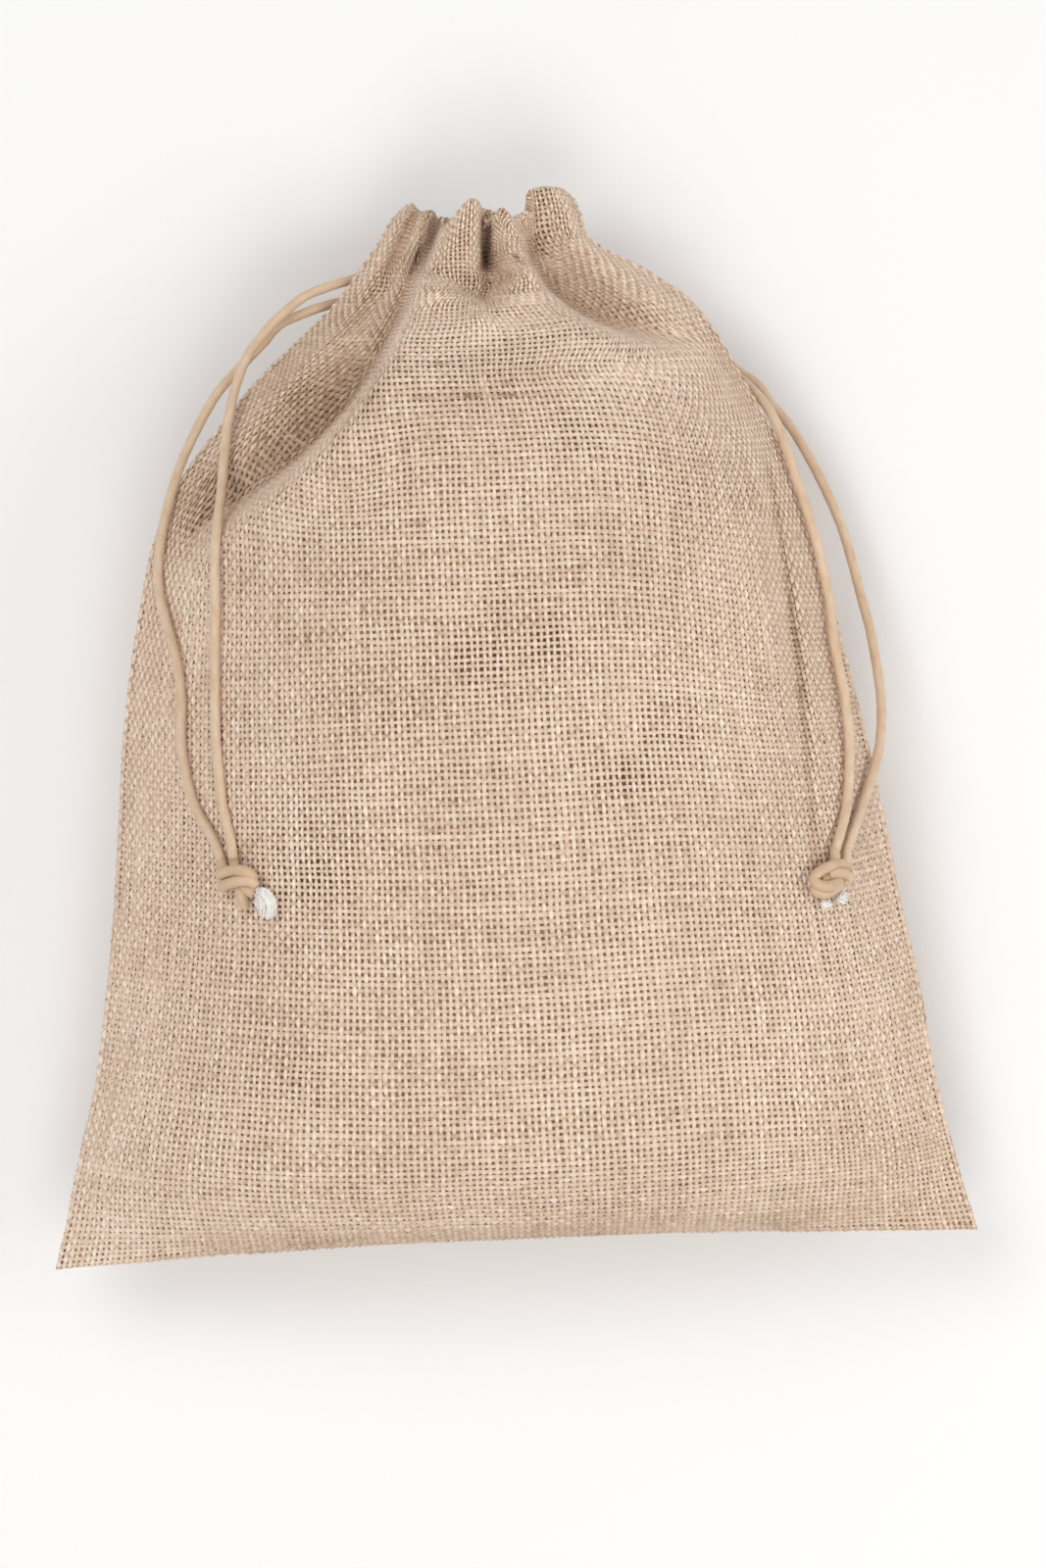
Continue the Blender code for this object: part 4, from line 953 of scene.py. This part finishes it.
def addYarns(face):
    grid, normal = crossings(face)
    rows, warps = grid.shape[0], weave["warps"]
    parity = (np.add.outer(np.arange(rows), np.arange(warps)) % 2).astype(float)
    places, facing = grid[:, 1::2], normal[:, 1::2]
    warpPitch = np.linalg.norm(np.gradient(places, axis=1), axis=2)
    weftPitch = np.linalg.norm(np.gradient(places, axis=0), axis=2)
    # Painted shade and light by place and beside the folds, with the hem line and darker slubs, taken off the
    # tones
    paintedShadeAndFlecks = nearSum(paintedShadeLightAndHemLine + strayFlecks(), places[..., 0], places[..., 1])
    if face == "front":
        paintedShadeAndFlecks = paintedShadeAndFlecks + foldLift(shadedLines, places[..., 0], places[..., 1])
    warpTone = tonesAndPaintedShade["warp"] + clothRandom.normal(0, tonesAndPaintedShade["byWarp"], (warps, 1))
    warpTone = warpTone + yarnSlub(warps, rows, 9, tonesAndPaintedShade["along"]) - paintedShadeAndFlecks.T
    weftTone = tonesAndPaintedShade["weft"] + clothRandom.normal(0, tonesAndPaintedShade["byWeft"], (rows, 1))
    weftTone = weftTone + yarnSlub(rows, warps, 9, tonesAndPaintedShade["along"]) - paintedShadeAndFlecks
    warpTone += clothRandom.normal(0, tonesAndPaintedShade["byCrossing"], (warps, rows))
    weftTone += clothRandom.normal(0, tonesAndPaintedShade["byCrossing"], (rows, warps))
    # Painted light and shade: where warps lie close they are painted lighter, and the weft deeper between
    # them darker
    dense = np.clip((tonesAndPaintedShade["denseFrom"] - warpPitch) / tonesAndPaintedShade["denseOver"], 0.0, 1.0)
    warpTone += tonesAndPaintedShade["denseWarpLight"] * dense.T
    weftTone -= tonesAndPaintedShade["denseWeftShade"] * dense
    openness = opennessAt(face, places, facing)
    warp = yarnPiece(
        "warp_" + face, places.transpose(1, 0, 2), facing.transpose(1, 0, 2), parity.T,
        np.minimum(warpPitch, closeYarns["warpMost"]).T, weftPitch.T, openness.T, warpTone, juteYarn,
    )
    first = 0 if face == "front" else 1  # the front brings the fold's weft for both faces
    over = np.pad(1 - parity, ((0, 0), (1, 1)))[first:]
    pitch, spacing, openness, tone = (
        np.pad(a, ((0, 0), (1, 1)), mode="edge")[first:] for a in (weftPitch, warpPitch, openness, weftTone)
    )
    weft = yarnPiece(
        "weft_" + face, np.concatenate([grid[:, :1], places, grid[:, -1:]], axis=1)[first:],
        np.concatenate([normal[:, :1], facing, normal[:, -1:]], axis=1)[first:], over,
        np.minimum(pitch, closeYarns["weftMost"]), spacing, openness, tone, juteYarn,
    )
    return [warp, weft]


yarnPieces = addYarns("front") + addYarns("back")
print("yarns woven")


# The thin closed sheet behind the yarns, front and back in one, open at the mouth
def addGround():
    step = behind["step"]
    rings, tones = [], []
    for depth in weave["groundDepths"]:
        faces, opens = {}, {}
        for face in ("front", "back"):
            grid, normal = surfaces[face]
            rows = list(range(0, grid.shape[0] - 1, 2)) + [grid.shape[0] - 1]
            columns = list(range(0, grid.shape[1] - 1, step)) + [grid.shape[1] - 1]
            faces[face] = (grid - normal * depth * clothRoom[face][..., None])[rows][:, columns]
            opens[face] = opennessAt(face, grid, normal)[rows][:, columns]
        for end, beside in ((0, 1), (-1, -2)):
            shared = (faces["front"][:, end] + faces["back"][:, end]) / 2
            inward = unit((faces["front"][:, beside] + faces["back"][:, beside]) / 2 - shared)
            faces["front"][:, end] = faces["back"][:, end] = shared + inward * weave["seamInset"]
        fold = (faces["front"][0] + faces["back"][0]) / 2
        faces["front"][0] = faces["back"][0] = fold
        rings.append(np.concatenate([faces["front"], faces["back"][:, -2:0:-1]], axis=1))
        tones.append(np.concatenate([opens["front"], opens["back"][:, -2:0:-1]], axis=1))
    sheet = np.concatenate([rings[0], rings[1][::-1]])
    tone = np.concatenate([tones[0], tones[1][::-1]])
    along = np.arange(len(sheet), dtype=float)
    return stripMesh("sack_cloth", sheet[None], along[None], tone[None], True, paintedShadeGround)


ground = addGround()
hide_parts("sack_body")
print("ground sheet made")


# Lights by name: place in metres and power. The floor lies just under the sack
studio = dict(
    lights={
        "light beyond the left shoulder": ((-0.57, 0.57, 1.43), 7.5),
        "light below the bottom": ((0.0, -0.8, 1.43), 8.0),
        "light at the right": ((1.36, 0.0, 0.9), 7.0),
    },
    aim=(0.0, 0.0, 0.05), lightSize=0.9, colour=(1.0, 0.99, 0.985), world=0.45,
    floor=0.95, floorSize=6.0, floorHeight=-0.0004,
)


def addLight(name, place, power):
    data = bpy.data.lights.new(name, "AREA")
    data.shape = "RECTANGLE"
    data.size = data.size_y = studio["lightSize"]
    data.energy = power
    data.color = studio["colour"]
    light = bpy.data.objects.new(name, data)
    light.location = place
    aim = Vector(studio["aim"]) - Vector(place)
    light.rotation_euler = aim.to_track_quat("-Z", "Y").to_euler()
    bpy.context.scene.collection.objects.link(light)


def addWorld():
    world = bpy.data.worlds.new("studio")
    world.use_nodes = True
    background = world.node_tree.nodes["Background"]
    background.inputs[0].default_value = (1.0, 1.0, 1.0, 1.0)
    background.inputs[1].default_value = studio["world"]
    bpy.context.scene.world = world


def addFloor():
    bpy.ops.object.select_all(action="DESELECT")
    place = (0.0, 0.0, studio["floorHeight"])
    bpy.ops.mesh.primitive_plane_add(size=studio["floorSize"], location=place)
    bpy.ops.object.transform_apply(location=True)
    floor = bpy.context.object
    floor.name = "floor"
    material, _, _, shader = newMaterial("paleFloor", 0.9)
    shader.inputs["Base Color"].default_value = (*[studio["floor"]] * 3, 1.0)
    floor.data.materials.append(material)


for lightName, (lightPlace, lightPower) in studio["lights"].items():
    addLight(lightName, lightPlace, lightPower)
addWorld()
addFloor()
bpy.context.scene.view_settings.view_transform = "Standard"
print("studio lit")
